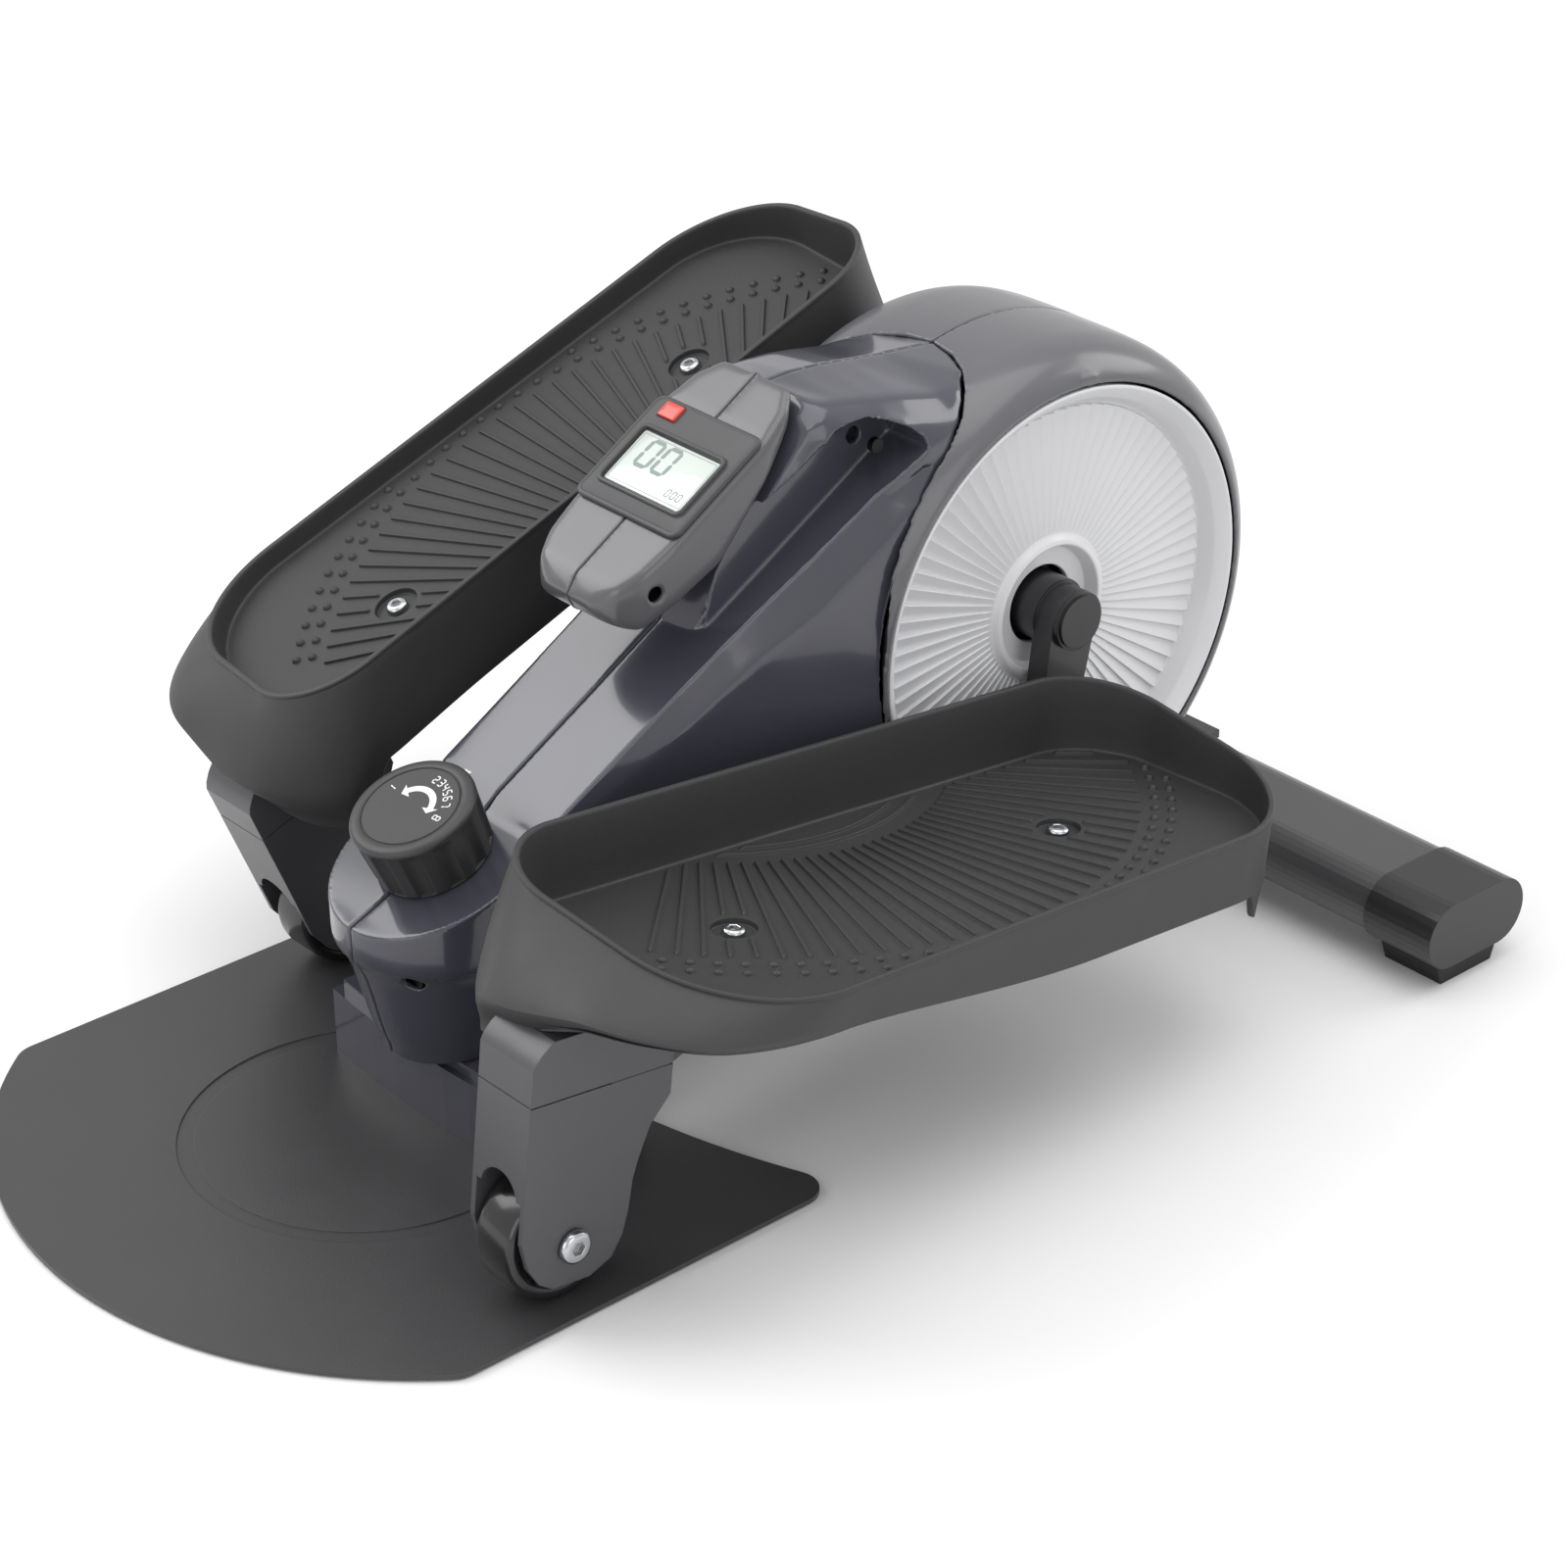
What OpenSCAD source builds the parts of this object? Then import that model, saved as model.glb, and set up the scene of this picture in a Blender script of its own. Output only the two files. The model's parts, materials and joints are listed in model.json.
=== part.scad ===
// Under-desk elliptical trainer, millimetres.
// +Z up, origin on the floor under the middle of the machine.
// The user sits on the -Y side; the crank axle runs along X.

/* [Base] */
// Half width of the base plate
plate_half_w = 154; // [150:1:158]
// Radius of the plate's front edge
plate_front_r = 192; // [188:1:198]
// Top of the base plate above the floor
plate_top = 3; // [2.6:0.1:3]
// Length of the rear stabilizer tube
stab_len = 410; // [390:2:420]

/* [Drive] */
// Groove radius of the crank pulley
pulley_r = 80; // [77:1:80]
// Outer radius of the flywheel
flywheel_r = 40; // [36:1:40]
// Width of the drive belt
belt_w = 6.8; // [5:0.1:7]
// Radius of the crank pins
pin_r = 6; // [5:0.1:6]

/* [Foot trays] */
// Thickness of the tray walls
tray_wall = 3; // [2.5:0.1:3.5]
// Extra height of the tray rim
rim_up = 0; // [-3:0.5:3]
// Radius of the front wheels
wheel_r = 26.8; // [26:0.1:26.8]

/* [Housing] */
// Largest radius of the round housing
dome_r = 121.5; // [120:0.5:122]
// Wall thickness of the housing shells
shell_t = 2.6; // [2.2:0.1:2.8]
// Radius of the tension knob at its top
knob_r = 27; // [25:0.5:28]

/* [Hidden] */
$fn = 64;

axle = [178, 150];            // crank axis (y, z)
crank_r = 78;                 // crank throw
crank_phase = 11;             // right pin forward of bottom dead centre
wheel_z = 30;                 // wheel axle height
bar_len = 337;                // wheel axle to crank pin
bar_rise = 14.3;              // pin above the tray floor's own line
pin_rt = [axle[0] - crank_r*sin(crank_phase), axle[1] - crank_r*cos(crank_phase)];
pin_lt = [axle[0] + crank_r*sin(crank_phase), axle[1] + crank_r*cos(crank_phase)];
wy_rt = pin_rt[0] - sqrt(pow(bar_len,2) - pow(pin_rt[1]-wheel_z,2));
wy_lt = pin_lt[0] - sqrt(pow(bar_len,2) - pow(pin_lt[1]-wheel_z,2));
tilt_rt = asin((pin_rt[1]-wheel_z)/bar_len) - bar_rise;
tilt_lt = asin((pin_lt[1]-wheel_z)/bar_len) - bar_rise;
// sleeve centre from the pin at rest, world (y, z)
off_rt = [-0.42, 3.83];
off_lt = [-0.47, -3.62];
bore_r = 10.2;                // sleeve bore, lets the pin wander as the foot swings
fly = [72, 176];              // flywheel axis
idler = [73.4, 134.0];        // idler axis
pivot = [30, 128];            // brake arm pivot
knob_c = [-121.3, 121.4];     // centre of the knob's seat
knob_tilt = 21.7;
mon_c = [3.8, 254.8];         // centre of the monitor's face
mon_tilt = 31.5;
gap = 0.15;                   // half of a parting line
tube_ang = atan2(axle[1]-28, axle[0]+96);
floor_v = 106.5;              // tray floor above the wheel axle

module xcyl(y, z, r, x0, x1, f = 64) { translate([x0, y, z]) rotate([90, 0, 90]) cylinder(r = r, h = x1 - x0, $fn = f); }
module xpoly(pts, x0, x1) { translate([x0, 0, 0]) rotate([90, 0, 90]) linear_extrude(height = x1 - x0) polygon(pts); }
module revx(pts, f = 128) { translate([0, axle[0], axle[1]]) rotate([90, 0, 90]) rotate_extrude($fn = f) polygon(pts); }
function arc(cx, cy, r, a0, a1, n) = [for (i = [0:n]) let(a = a0 + (a1-a0)*i/n) [cx + r*cos(a), cy + r*sin(a)]];
function mir(p) = [for (i = [len(p)-1:-1:0]) [-p[i][0], p[i][1]]];
module rod(a, b, r, f = 24) { v = b - a; l = norm(v);
  translate(a) rotate([0, acos(v[2]/l), atan2(v[1], v[0])]) cylinder(r = r, h = l, $fn = f); }
module cord(pts, r) { for (i = [0:len(pts)-2]) rod(pts[i], pts[i+1], r); for (i = [1:len(pts)-2]) translate(pts[i]) sphere(r = r*1.12, $fn = 24); }
// sector about the crank axis, degrees forward of straight up
module sector(a0, a1, r, x0, x1, n = 8) translate([0, axle[0], axle[1]]) xpoly(concat([[0,0]], [for (i=[0:n]) let(a=a0+(a1-a0)*i/n) [-r*sin(a), r*cos(a)]]), x0, x1);

// ---------- base ----------
plate_cy = -308 + plate_front_r;
side_a = asin((plate_half_w - 14)/(plate_front_r - 14));
ear_cx = plate_half_w - 12;
ear_cy = -57.5;
rear_cy = 290.6;
rear_a = atan2(ear_cy - rear_cy, ear_cx);
function half_plate() = concat(
  arc(0, plate_cy, plate_front_r, -90, -90 + side_a, 22),
  arc((plate_front_r-14)*sin(side_a), plate_cy - (plate_front_r-14)*cos(side_a), 14, -90 + side_a, 0, 6),
  arc(ear_cx, ear_cy, 12, 0, rear_a + 180, 10),
  arc(0, rear_cy, norm([ear_cx, rear_cy-ear_cy]) - 12, rear_a, -90, 16));
module base_plate() color([0.2,0.2,0.21]) difference() {
  translate([0,0,1]) linear_extrude(height = plate_top - 1) polygon(concat(half_plate(), mir(half_plate())));
  translate([-4,-157,plate_top-0.6]) difference() { cylinder(r=80,h=2,$fn=96); translate([0,0,-1]) cylinder(r=73,h=4,$fn=96); }
  for (x=[-40,40], y=[-118,-86]) translate([x,y,-1]) cylinder(r=4.2,h=8);
}
module base_pads() color([0.06,0.06,0.06]) for (x=[-118,118], y=[-226,-78]) translate([x,y,0]) cylinder(r=14,h=1);
module foot_shroud() color([0.28,0.29,0.33]) difference() {
  union() {
    translate([0,0,plate_top]) linear_extrude(height=32-plate_top+1) polygon(concat([[-65,-70]], [for(i=[0:8]) let(x=-65+i*16.25) [x,-135+4*pow(x/65,2)]], [[65,-70]]));
    translate([0,0,33]) linear_extrude(height=5) polygon([[-61,-73],[-61,-128],[-32,-131],[0,-132],[32,-131],[61,-128],[61,-73]]);
  }
  translate([-61.5,-127,-1]) cube([123,54,35.5]);
  translate([-22,-122,30]) cube([44,60,20]);
  translate([-18.5,-80,22]) cube([37,20,20]);
}
module flange_bolts() color([0.75,0.76,0.78]) for (x=[-40,40], y=[-118,-86]) translate([x,y,0]) {
  translate([0,0,1.2]) cylinder(r=4,h=13); translate([0,0,plate_top+5.05]) cylinder(r=7,h=5.5,$fn=6); }
// neck tube, axle housing, rear strut, flywheel carrier and flanges, welded in one
module tube_frame() translate([0,-96,28]) rotate([tube_ang,0,0]) children();
module strut_frame() translate([0,axle[0],axle[1]]) rotate([-51.6,0,0]) children();
module main_frame() color([0.12,0.12,0.13]) difference() {
  union() {
    translate([-50,-125,plate_top]) cube([100,50,5]);
    translate([-16,-101,plate_top+4]) cube([32,26,22]);
    tube_frame() translate([-17,0,-13]) cube([34,282,26]);
    xcyl(axle[0],axle[1],22,-30,14);
    strut_frame() translate([-15,0,-15]) cube([30,160,30]);
    translate([-38,250,40.2]) cube([76,50,4]);
    xpoly([[20,90],[92,112],[92,196],[56,196],[48,160],[22,138]],-12,-7);
    xcyl(fly[0],fly[1],15,-14,-5);
    translate([-12,-112,plate_top+4]) cube([24,5,84]);
    translate([6,-112,84]) cube([8,14,8]);
    xpoly([[-12,70],[-2,70],[-2,118],[-12,118]],6,14);
  }
  tube_frame() translate([-14.5,3,-10.5]) cube([29,262,21]);
  xcyl(axle[0],axle[1],9,-40,40);
  xcyl(axle[0],axle[1],17.5,-40,-18); xcyl(axle[0],axle[1],17.5,2,40);
  strut_frame() translate([-12.5,24,-12.5]) cube([25,140,25]);
  for (x=[-40,40], y=[-118,-86]) translate([x,y,-1]) cylinder(r=4.2,h=15);
  for (x=[-29,29]) translate([x,276.5,0]) cylinder(r=3.1,h=60);
  xcyl(fly[0],fly[1],11,-20,0);
  xcyl(idler[0],idler[1],4.05,-20,0); xcyl(pivot[0],pivot[1],3.02,-20,0);
  translate([-13,24,103]) cube([7,12,14]);   // window for the brake lever
  translate([10,-120,88]) rotate([-90,0,0]) cylinder(r=2.3,h=40);
  translate([10,-20,112]) rotate([-90,0,0]) cylinder(r=2.3,h=30);
  translate([-200,200,-60]) cube([400,200,100.2]);
}
// ---------- rear stabilizer ----------
sy = 276.5; sz = 26;
module stadium(a, r) { polygon(concat(arc(a,0,r,-90,90,16), arc(-a,0,r,90,270,16))); }
module stab(r, x0, x1) translate([x0,sy,sz]) rotate([90,0,90]) linear_extrude(height=x1-x0) stadium(15.5,r);
module stabilizer_tube() color([0.3,0.3,0.31]) difference() {
  stab(14.2, -stab_len/2, stab_len/2);
  stab(12.2, -stab_len, stab_len);
  for (x=[-29,29]) translate([x,sy,sz]) cylinder(r=3.1,h=40);
}
module stab_cap() difference() { stab(15.7, 177, 215); stab(14.3, 170, 212.5); }
module stabilizer_cap_right() color([0.09,0.09,0.1]) stab_cap();
module stabilizer_cap_left() color([0.09,0.09,0.1]) mirror([1,0,0]) stab_cap();
module rear_feet() color([0.05,0.05,0.05]) for (m=[0,1]) mirror([m,0,0]) difference() {
  xpoly([[260,0],[293,0],[298,14],[255,14]],179,211);
  stab(15.8,170,220);
  xpoly([[266,-1],[287,-1],[287,2],[266,2]],185,205);
}
module stabilizer_bolts() color([0.75,0.76,0.78]) for (x=[-29,29]) translate([x,sy,0]) {
  translate([0,0,34]) cylinder(r=3,h=12); translate([0,0,44.25]) cylinder(r=5.5,h=4.5,$fn=6); }

// ---------- housing ----------
// neck, below its sloping front face: [y, bottom z, bottom half width, [middle x, z], [lower edge x, z], [upper edge x, z]]
NS = [[-121,38.3,20,[31,80],[35,108],[34,118.5]],[-97,38.3,25,[35,84],[37.6,122],[36.6,130.6]],[-88,38.3,26,[36,85],[38.6,130],[37.3,138.2]],[-70,38.3,30,[39,88],[40,141],[37.3,148.6]],
 [-40,38.3,34,[42,92],[42,152.5],[37.5,165.8]],[-23,42.5,36,[44,97],[43,160.5],[37.8,175.6]],[0,52,39,[47,105],[44.6,173],[38.7,188.9]],
 [16,58.5,42,[49.5,112],[46,182],[39.6,198.1]],[48,71.5,48,[54,120],[49,195],[42.8,216.6]],[81,84,54,[57.2,132],[50.5,214.5],[44.8,235.5]],
 [94,89,55.5,[57.6,140],[52,226],[45.4,243]],[113,96,56.5,[57.6,145],[54,230],[49.6,246]],[152,110,57.5,[57.6,150],[55,236],[50,250]]];
// nose above the front face: [y, side half width, shoulder z, roll x, roll z, flat x, flat z, top z]
TS = [[-3,20,184,18,185,12,186,186.6],[8,30,200,30,208,26,213,214],[29,33,235,31,240,25,242,242.5],[50,35.5,258,33.5,266,26,270,271],[57,38,262,35,270,27,275.2,276.6],
 [70,42.5,258,39.5,266,30,272.8,277],[86,47.5,254,45,262,33,270.5,275.6],[100,49.6,249,46.5,259,34,268.2,273.8],[121,50,248,46,256,36,263.5,270.8],[148,53,240,46.5,257,36,263.3,268],[152,53,240,46.5,256.5,36,263,267.6]];
function fz(y) = 188.86 + 0.5765*y;
function nsec(q, t) = [[-1,q[1]+t],[q[2]-7-t*0.6,q[1]+t],[q[2]-t,q[1]+9+t],[q[3][0]-t,q[3][1]],[q[4][0]-t,q[4][1]],[q[5][0]-t,q[5][1]-t*1.1],[-1,q[5][1]-t*1.1]];
function tlow(q, t) = min(fz(q[0]),q[2]-4)-4-t*3;
function tsec(q, t) = [[-1,tlow(q,t)],[q[1]-t-0.4,tlow(q,t)],[q[1]-t,q[2]],[q[3]-t*0.9,q[4]-t*0.5],[q[5]-t*0.4,q[6]-t],[-1,q[7]-t]];
module loft_y(ys, secs) { m = len(secs[0]); n = len(secs);
  polyhedron(points = [for (i=[0:n-1]) for (p=secs[i]) [p[0], ys[i], p[1]]],
    faces = concat([[for (j=[m-1:-1:0]) j]], [[for (j=[0:m-1]) (n-1)*m+j]],
      [for (i=[0:n-2]) for (j=[0:m-1]) let(k=(j+1)%m) each [[i*m+j, i*m+k, (i+1)*m+j], [i*m+k, (i+1)*m+k, (i+1)*m+j]]])); }
pod_out = [[0,38.3],[27,38.3],[27.6,43],[29.6,48],[32,57],[34.6,68],[37.3,78],[40.5,85],[43.2,89],[43.6,92],[43.6,150],[0,150]];
pod_in = [[0,36],[24.4,36],[25,43],[27,48.6],[29.4,57.4],[32,68.4],[34.7,78.6],[38,86],[40.6,90],[41,92.4],[41,150],[0,150]];
// slot along each side between the nose and the front face
slot_side = [[-20,177.4],[103,248.3],[101.5,253],[95,259],[86,263.5],[77,266.3],[68,266.3],[61,264],[49,254],[26,238],[8,222],[-20,222]];
slot_fat = [[-22,173],[105.5,246.5],[104.2,254.4],[96.6,261.3],[87,266.2],[77.4,269.2],[67,269.2],[59.4,266.4],[47.4,256.4],[24.3,240.3],[5,223],[-22,225]];
// line between the nose and the round housing, in plan
split = [[0,150],[14,148],[27,142],[37,134],[46,124],[50,113],[52,95.6],[54,78],[57,72],[57.2,95],[64,95]];
module neck_half() difference() {
  union() {
    intersection() { translate([0,-121,0]) rotate_extrude($fn=96) polygon(pod_out); xpoly([[-170,30],[-170,101.8],[-158,106.4],[-86,135.6],[-76,135.6],[-76,30]],-60,60); }
    loft_y([for (q=NS) q[0]], [for (q=NS) nsec(q,0)]);
    loft_y([for (q=TS) q[0]], [for (q=TS) tsec(q,0)]);
  }
  xpoly(slot_side,24,64);
  difference() {
    union() {
      intersection() { translate([0,-121,0]) rotate_extrude($fn=96) polygon(pod_in); xpoly([[-170,30],[-170,99],[-158,103.6],[-88.5,132.4],[-78,132.4],[-78,30]],-60,60); }
      intersection() { loft_y([for (q=NS) q[0]+ (q[0]>150 ? 1 : 0)], [for (q=NS) nsec(q,shell_t)]); translate([-2,-118,0]) cube([80,300,320]); }
      intersection() { loft_y([for (q=TS) q[0]+ (q[0]>150 ? 1 : 0)], [for (q=TS) tsec(q,shell_t)]); translate([-2,3,0]) cube([80,300,320]); }
    }
    difference() { xpoly(slot_fat,21.4,64); }
    intersection() { xpoly([[-60,130],[140,260],[140,300],[-60,200]],-5,64); translate([-5,-60,0]) cube([70,62.6,400]); xpoly([[-60,fz(-60)-3],[140,fz(140)-3],[140,320],[-60,320]],-5,64); }
  }
  translate([-80,-200,0]) cube([80+gap,500,320]);
  xcyl(axle[0],axle[1],106.9,-1,70,128);
  linear_extrude(height=400) polygon(concat(split,[[64,300],[0,300]]));
  sector(121.7,170,320,-1,70);
  translate([0,knob_c[0],knob_c[1]]) rotate([knob_tilt,0,0]) translate([0,0,-12]) cylinder(r=4.3,h=30);
  translate([-1,-124,36]) cube([19,100,12]);
  translate([-1,-70,36]) cube([19,46,30]);
  translate([24,-170,84]) rotate([-90,0,0]) cylinder(r=3.4,h=30);
  xcyl(83.5,252,3.6,20,60);
  rod([8,34,232],[8,19,247],2.6);
}
module neck_shell_right() color([0.16,0.165,0.2]) neck_half();
module neck_shell_left() color([0.16,0.165,0.2]) mirror([1,0,0]) neck_half();
R = dome_r;
module dome_half() difference() {
  revx([[R,0],[R,20],[R-0.6,36],[R-3,46],[R-7.5,53],[R-13,57.5],[R-17.2,57.5],[R-12.8,51.6],[R-6,45],[R-3.2,35.5],[R-shell_t,20],[R-shell_t,0]]);
  translate([-5,-200,0]) cube([5+gap,600,320]);
  difference() {
    union() { sector(86,122,320,-1,70); translate([0,0.3,150]) linear_extrude(height=200) polygon(concat([for (p=split) if (p[0] < 57.1) p],[[57,60],[64,60],[64,-100],[0,-100]])); }
    xcyl(axle[0],axle[1],106.6,-2,80,128);
  }
  strut_frame() translate([-1,80,-17]) cube([18,80,34]);
  xcyl(187,257,3.5,20,38);
}
module dome_shell_right() color([0.33,0.33,0.35]) dome_half();
module dome_shell_left() color([0.33,0.33,0.35]) mirror([1,0,0]) dome_half();
module disc_cover() difference() {
  union() {
    revx([[17.5,37.6],[30,37.6],[31.5,42.6],[95.2,42.6],[98.9,50.4],[103.8,54.6],[103.8,57.2],[102.6,57.2],[97,52.2],[93.6,45.2],[33.5,45.2],[31.2,47.2],[27,47.2],[26.6,40.4],[17.5,40.4]]);
    for (i=[0:71]) translate([0,axle[0],axle[1]]) rotate([i*5,0,0]) translate([45,34,-0.6]) cube([1.2,58.8,1.2]);
  }
}
module disc_cover_right() color([0.8,0.8,0.82]) disc_cover();
module disc_cover_left() color([0.8,0.8,0.82]) mirror([1,0,0]) disc_cover();
module housing_screws() color([0.1,0.1,0.1]) for (m=[0,1]) mirror([m,0,0]) {
  translate([24,-150,84]) rotate([-90,0,0]) cylinder(r=3,h=8); xcyl(83.5,252,3.2,36,39); }
module pod_half() difference() {
  intersection() {
    xpoly([[-44.3,222.4],[-50,214],[-46,206],[-36,202],[5,221],[50.2,273],[54,273.6],[53,281.9]],0,34);
    linear_extrude(height=300) polygon([[0,-52],[14,-50],[25,-44],[31,-34],[33,-20],[33,30],[29,44],[20,54],[0,60]]);
  }
  intersection() {
    xpoly([[-43.6,220],[-47.2,213.4],[-44.4,208.2],[-35.6,205],[3.6,223.4],[47.4,275.9],[46,275]],-1,31);
    linear_extrude(height=300) polygon([[-1,-49],[13,-47.4],[23,-42],[28.4,-33],[30.4,-20],[30.4,28],[26,42],[-1,56]]);
  }
  translate([-5,-60,150]) cube([5+gap,200,180]);
  mon() translate([-1,-27,-9]) cube([28,55,30]);
  rod([8,34,232],[8,19,247],2.6);
  xcyl(-29,218,3.4,20,40);
}
module monitor_pod_right() color([0.42,0.42,0.45]) pod_half();
module monitor_pod_left() color([0.42,0.42,0.45]) mirror([1,0,0]) pod_half();
module mon() translate([0,mon_c[0],mon_c[1]]) rotate([mon_tilt,0,0]) children();
module monitor_case() color([0.2,0.2,0.21]) mon() difference() {
  union() {
    translate([-29,-28,-2.4]) cube([58,56,2.4]);
    translate([-26.5,-26.6,-8.4]) cube([53,54.2,6.2]);
  }
  translate([-20.7,-19,-1.4]) cube([41.4,29,3]);
  translate([-25,-25,-7]) cube([50,40.6,5]);
  translate([-24.7,17.6,-20]) cube([11.4,8.4,30]);
  translate([8,8,-12]) cylinder(r=1.6,h=8);
}
module lcd_window() color([0.75,0.8,0.76]) mon() translate([-20.5,-18.8,-1.4]) cube([41,28.6,1]);
module monitor_board() color([0.1,0.35,0.15]) mon() translate([-22,-23.5,-6.8]) cube([44,28,1.4]);
module coin_cell() color([0.7,0.7,0.72]) mon() translate([-9,-8,-5.4]) cylinder(r=8,h=3);
module reset_button() color([0.75,0.12,0.1]) mon() translate([-24.4,17.9,-5]) cube([10.8,7.8,6.2]);

// ---------- drive ----------
module axle_bearings() color([0.7,0.7,0.72]) for (x=[[-29,-18.2],[2.2,13]]) difference() {
  xcyl(axle[0],axle[1],17.4,x[0],x[1]); xcyl(axle[0],axle[1],8.05,x[0]-1,x[1]+1); }
module crank_axle() color([0.7,0.7,0.72]) { xcyl(axle[0],axle[1],8,-49.8,49.8); xcyl(axle[0],axle[1],12,14.6,18); }
module crank_pulley() color([0.12,0.12,0.12]) difference() {
  revx([[8.03,18.3],[17,18.3],[17,22],[70,22],[70,20],[pulley_r+3,20],[pulley_r+3,21],[pulley_r,22],[pulley_r,30],[pulley_r+3,31],[pulley_r+3,32],[70,32],[70,26],[17,26],[17,32],[8.03,32]], 96);
  for (i=[0:4]) translate([0,axle[0],axle[1]]) rotate([i*72+20,0,0]) translate([10,46,0]) rotate([0,90,0]) cylinder(r=13,h=40,$fn=32);
}
module pulley_magnet() color([0.6,0.6,0.62]) xcyl(axle[0]+26*cos(204),axle[1]+26*sin(204),4,20.2,21.95,32);
module arm2d(p) { a = atan2(p[1]-axle[1], p[0]-axle[0]); polygon(concat(arc(axle[0],axle[1],13.5,a+90,a+270,20), arc(p[0],p[1],10,a-90,a+90,16))); }
module crank_arms() color([0.08,0.08,0.08]) for (m=[0,1]) mirror([m,0,0]) let(p = m==0 ? pin_rt : pin_lt) difference() {
  union() { translate([51,0,0]) rotate([90,0,90]) linear_extrude(height=11) arm2d(p); xcyl(axle[0],axle[1],15.2,34,51.5); }
  xcyl(axle[0],axle[1],8.03,20,49.9); xcyl(p[0],p[1],pin_r+0.02,40,70); }
module crank_pins() color([0.7,0.7,0.72]) for (m=[0,1]) mirror([m,0,0]) let(p = m==0 ? pin_rt : pin_lt) {
  xcyl(p[0],p[1],pin_r,51,150); xcyl(p[0],p[1],9,62.05,66.2); xcyl(p[0],p[1],12,149.5,152.5); xcyl(p[0],p[1],7,152.4,157,6); }
module hub_caps() color([0.05,0.05,0.05]) for (m=[0,1]) mirror([m,0,0]) { xcyl(axle[0],axle[1],13.4,62.05,64.6); xcyl(axle[0],axle[1],12,64.5,65.8); }
function belt_pts(r1, r2, n) = let(d = norm(fly-axle), b = atan2(fly[1]-axle[1], fly[0]-axle[0]), g = acos((r1-r2)/d))
  concat(arc(axle[0],axle[1],r1,b+g,b+360-g,n), arc(fly[0],fly[1],r2,b-g,b+g,12));
module drive_belt() color([0.05,0.05,0.05]) difference() {
  xpoly(belt_pts(pulley_r+2.4, 14.4, 72), 26-belt_w/2, 26+belt_w/2);
  xpoly(belt_pts(pulley_r+0.5, 12.5, 72), 20, 32);
}
module flywheel() color([0.45,0.45,0.47]) difference() {
  union() { xcyl(fly[0],fly[1],flywheel_r,-36,-17,96); xcyl(fly[0],fly[1],10,-17.1,-14.8); }
  xcyl(fly[0],fly[1],5.02,-60,60);
  difference() { xcyl(fly[0],fly[1],flywheel_r-9,-40,-31,96); xcyl(fly[0],fly[1],12,-41,-30); }
}
module flywheel_axle() color([0.7,0.7,0.72]) { xcyl(fly[0],fly[1],5,-40,36); xcyl(fly[0],fly[1],8,36,40,6); xcyl(fly[0],fly[1],8,-41,-36.1,6); }
module flywheel_pulley() color([0.3,0.3,0.32]) difference() {
  union() { xcyl(fly[0],fly[1],14.6,19.5,21.8); xcyl(fly[0],fly[1],12,21.7,30.3); xcyl(fly[0],fly[1],14.6,30.2,32.5); xcyl(fly[0],fly[1],8,-4.6,19.6); xcyl(fly[0],fly[1],8,32.4,35.9); }
  xcyl(fly[0],fly[1],5.02,-20,60); }
module flywheel_bearing() color([0.7,0.7,0.72]) difference() { xcyl(fly[0],fly[1],10.95,-13.6,-5.4); xcyl(fly[0],fly[1],5.05,-20,0); }
module idler_roller() color([0.15,0.15,0.15]) difference() { xcyl(idler[0],idler[1],9.8,20.8,31.2); xcyl(idler[0],idler[1],4.06,10,40); }
module idler_bolt() color([0.7,0.7,0.72]) { xcyl(idler[0],idler[1],4,-16,34); xcyl(idler[0],idler[1],6,-6.95,20.4); xcyl(idler[0],idler[1],7,31.7,35.5,6); xcyl(idler[0],idler[1],6.4,-16,-12.05,6); }
// magnet carrier, swings towards the flywheel rim
module brake_arm() color([0.25,0.25,0.27]) difference() {
  union() {
    xpoly(concat(arc(fly[0],fly[1],46,163,216,14), arc(fly[0],fly[1],52,216,163,14)),-32,-21);
    xpoly([[27.5,151],[36,151],[36,129],[24,129]],-30,-22);
    xcyl(pivot[0],pivot[1],7,-31,-20.6);
    xpoly([[26,128],[34,128],[33,108],[27,108]],-28,-22);
    xpoly([[27,106],[33,106],[33,114],[27,114]],-22.2,14);
  }
  xcyl(pivot[0],pivot[1],3.06,-40,0);
  translate([10,20,110]) rotate([-90,0,0]) cylinder(r=1.4,h=20);
}
module brake_magnets() color([0.6,0.6,0.62]) for (a=[166,184,202]) translate([-26.5,fly[0]+44.05*cos(a),fly[1]+44.05*sin(a)]) rotate([a,0,0]) translate([-4.5,-1.5,-6]) cube([9,3,12]);
module brake_pivot() color([0.7,0.7,0.72]) { xcyl(pivot[0],pivot[1],3,-34,-5); xcyl(pivot[0],pivot[1],5.5,-36,-31.4); xcyl(pivot[0],pivot[1],5,-6.9,-4,6); }
module brake_spring() color([0.7,0.7,0.72]) for (i=[0:3]) translate([-19.2+i*1.6,pivot[0],pivot[1]]) rotate([0,90,0]) rotate_extrude($fn=48) translate([5,0]) circle(r=0.75,$fn=16);
module brake_cable() color([0.05,0.05,0.05]) {
  cord([[10,-97.5,88],[10,-80,92],[10,-50,104],[10,-24,112],[10,-12.5,112]],2.2);
  rod([10,-14,112],[10,25.8,110],0.8);
}
module knobf() translate([0,knob_c[0],knob_c[1]]) rotate([knob_tilt,0,0]) children();
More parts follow.
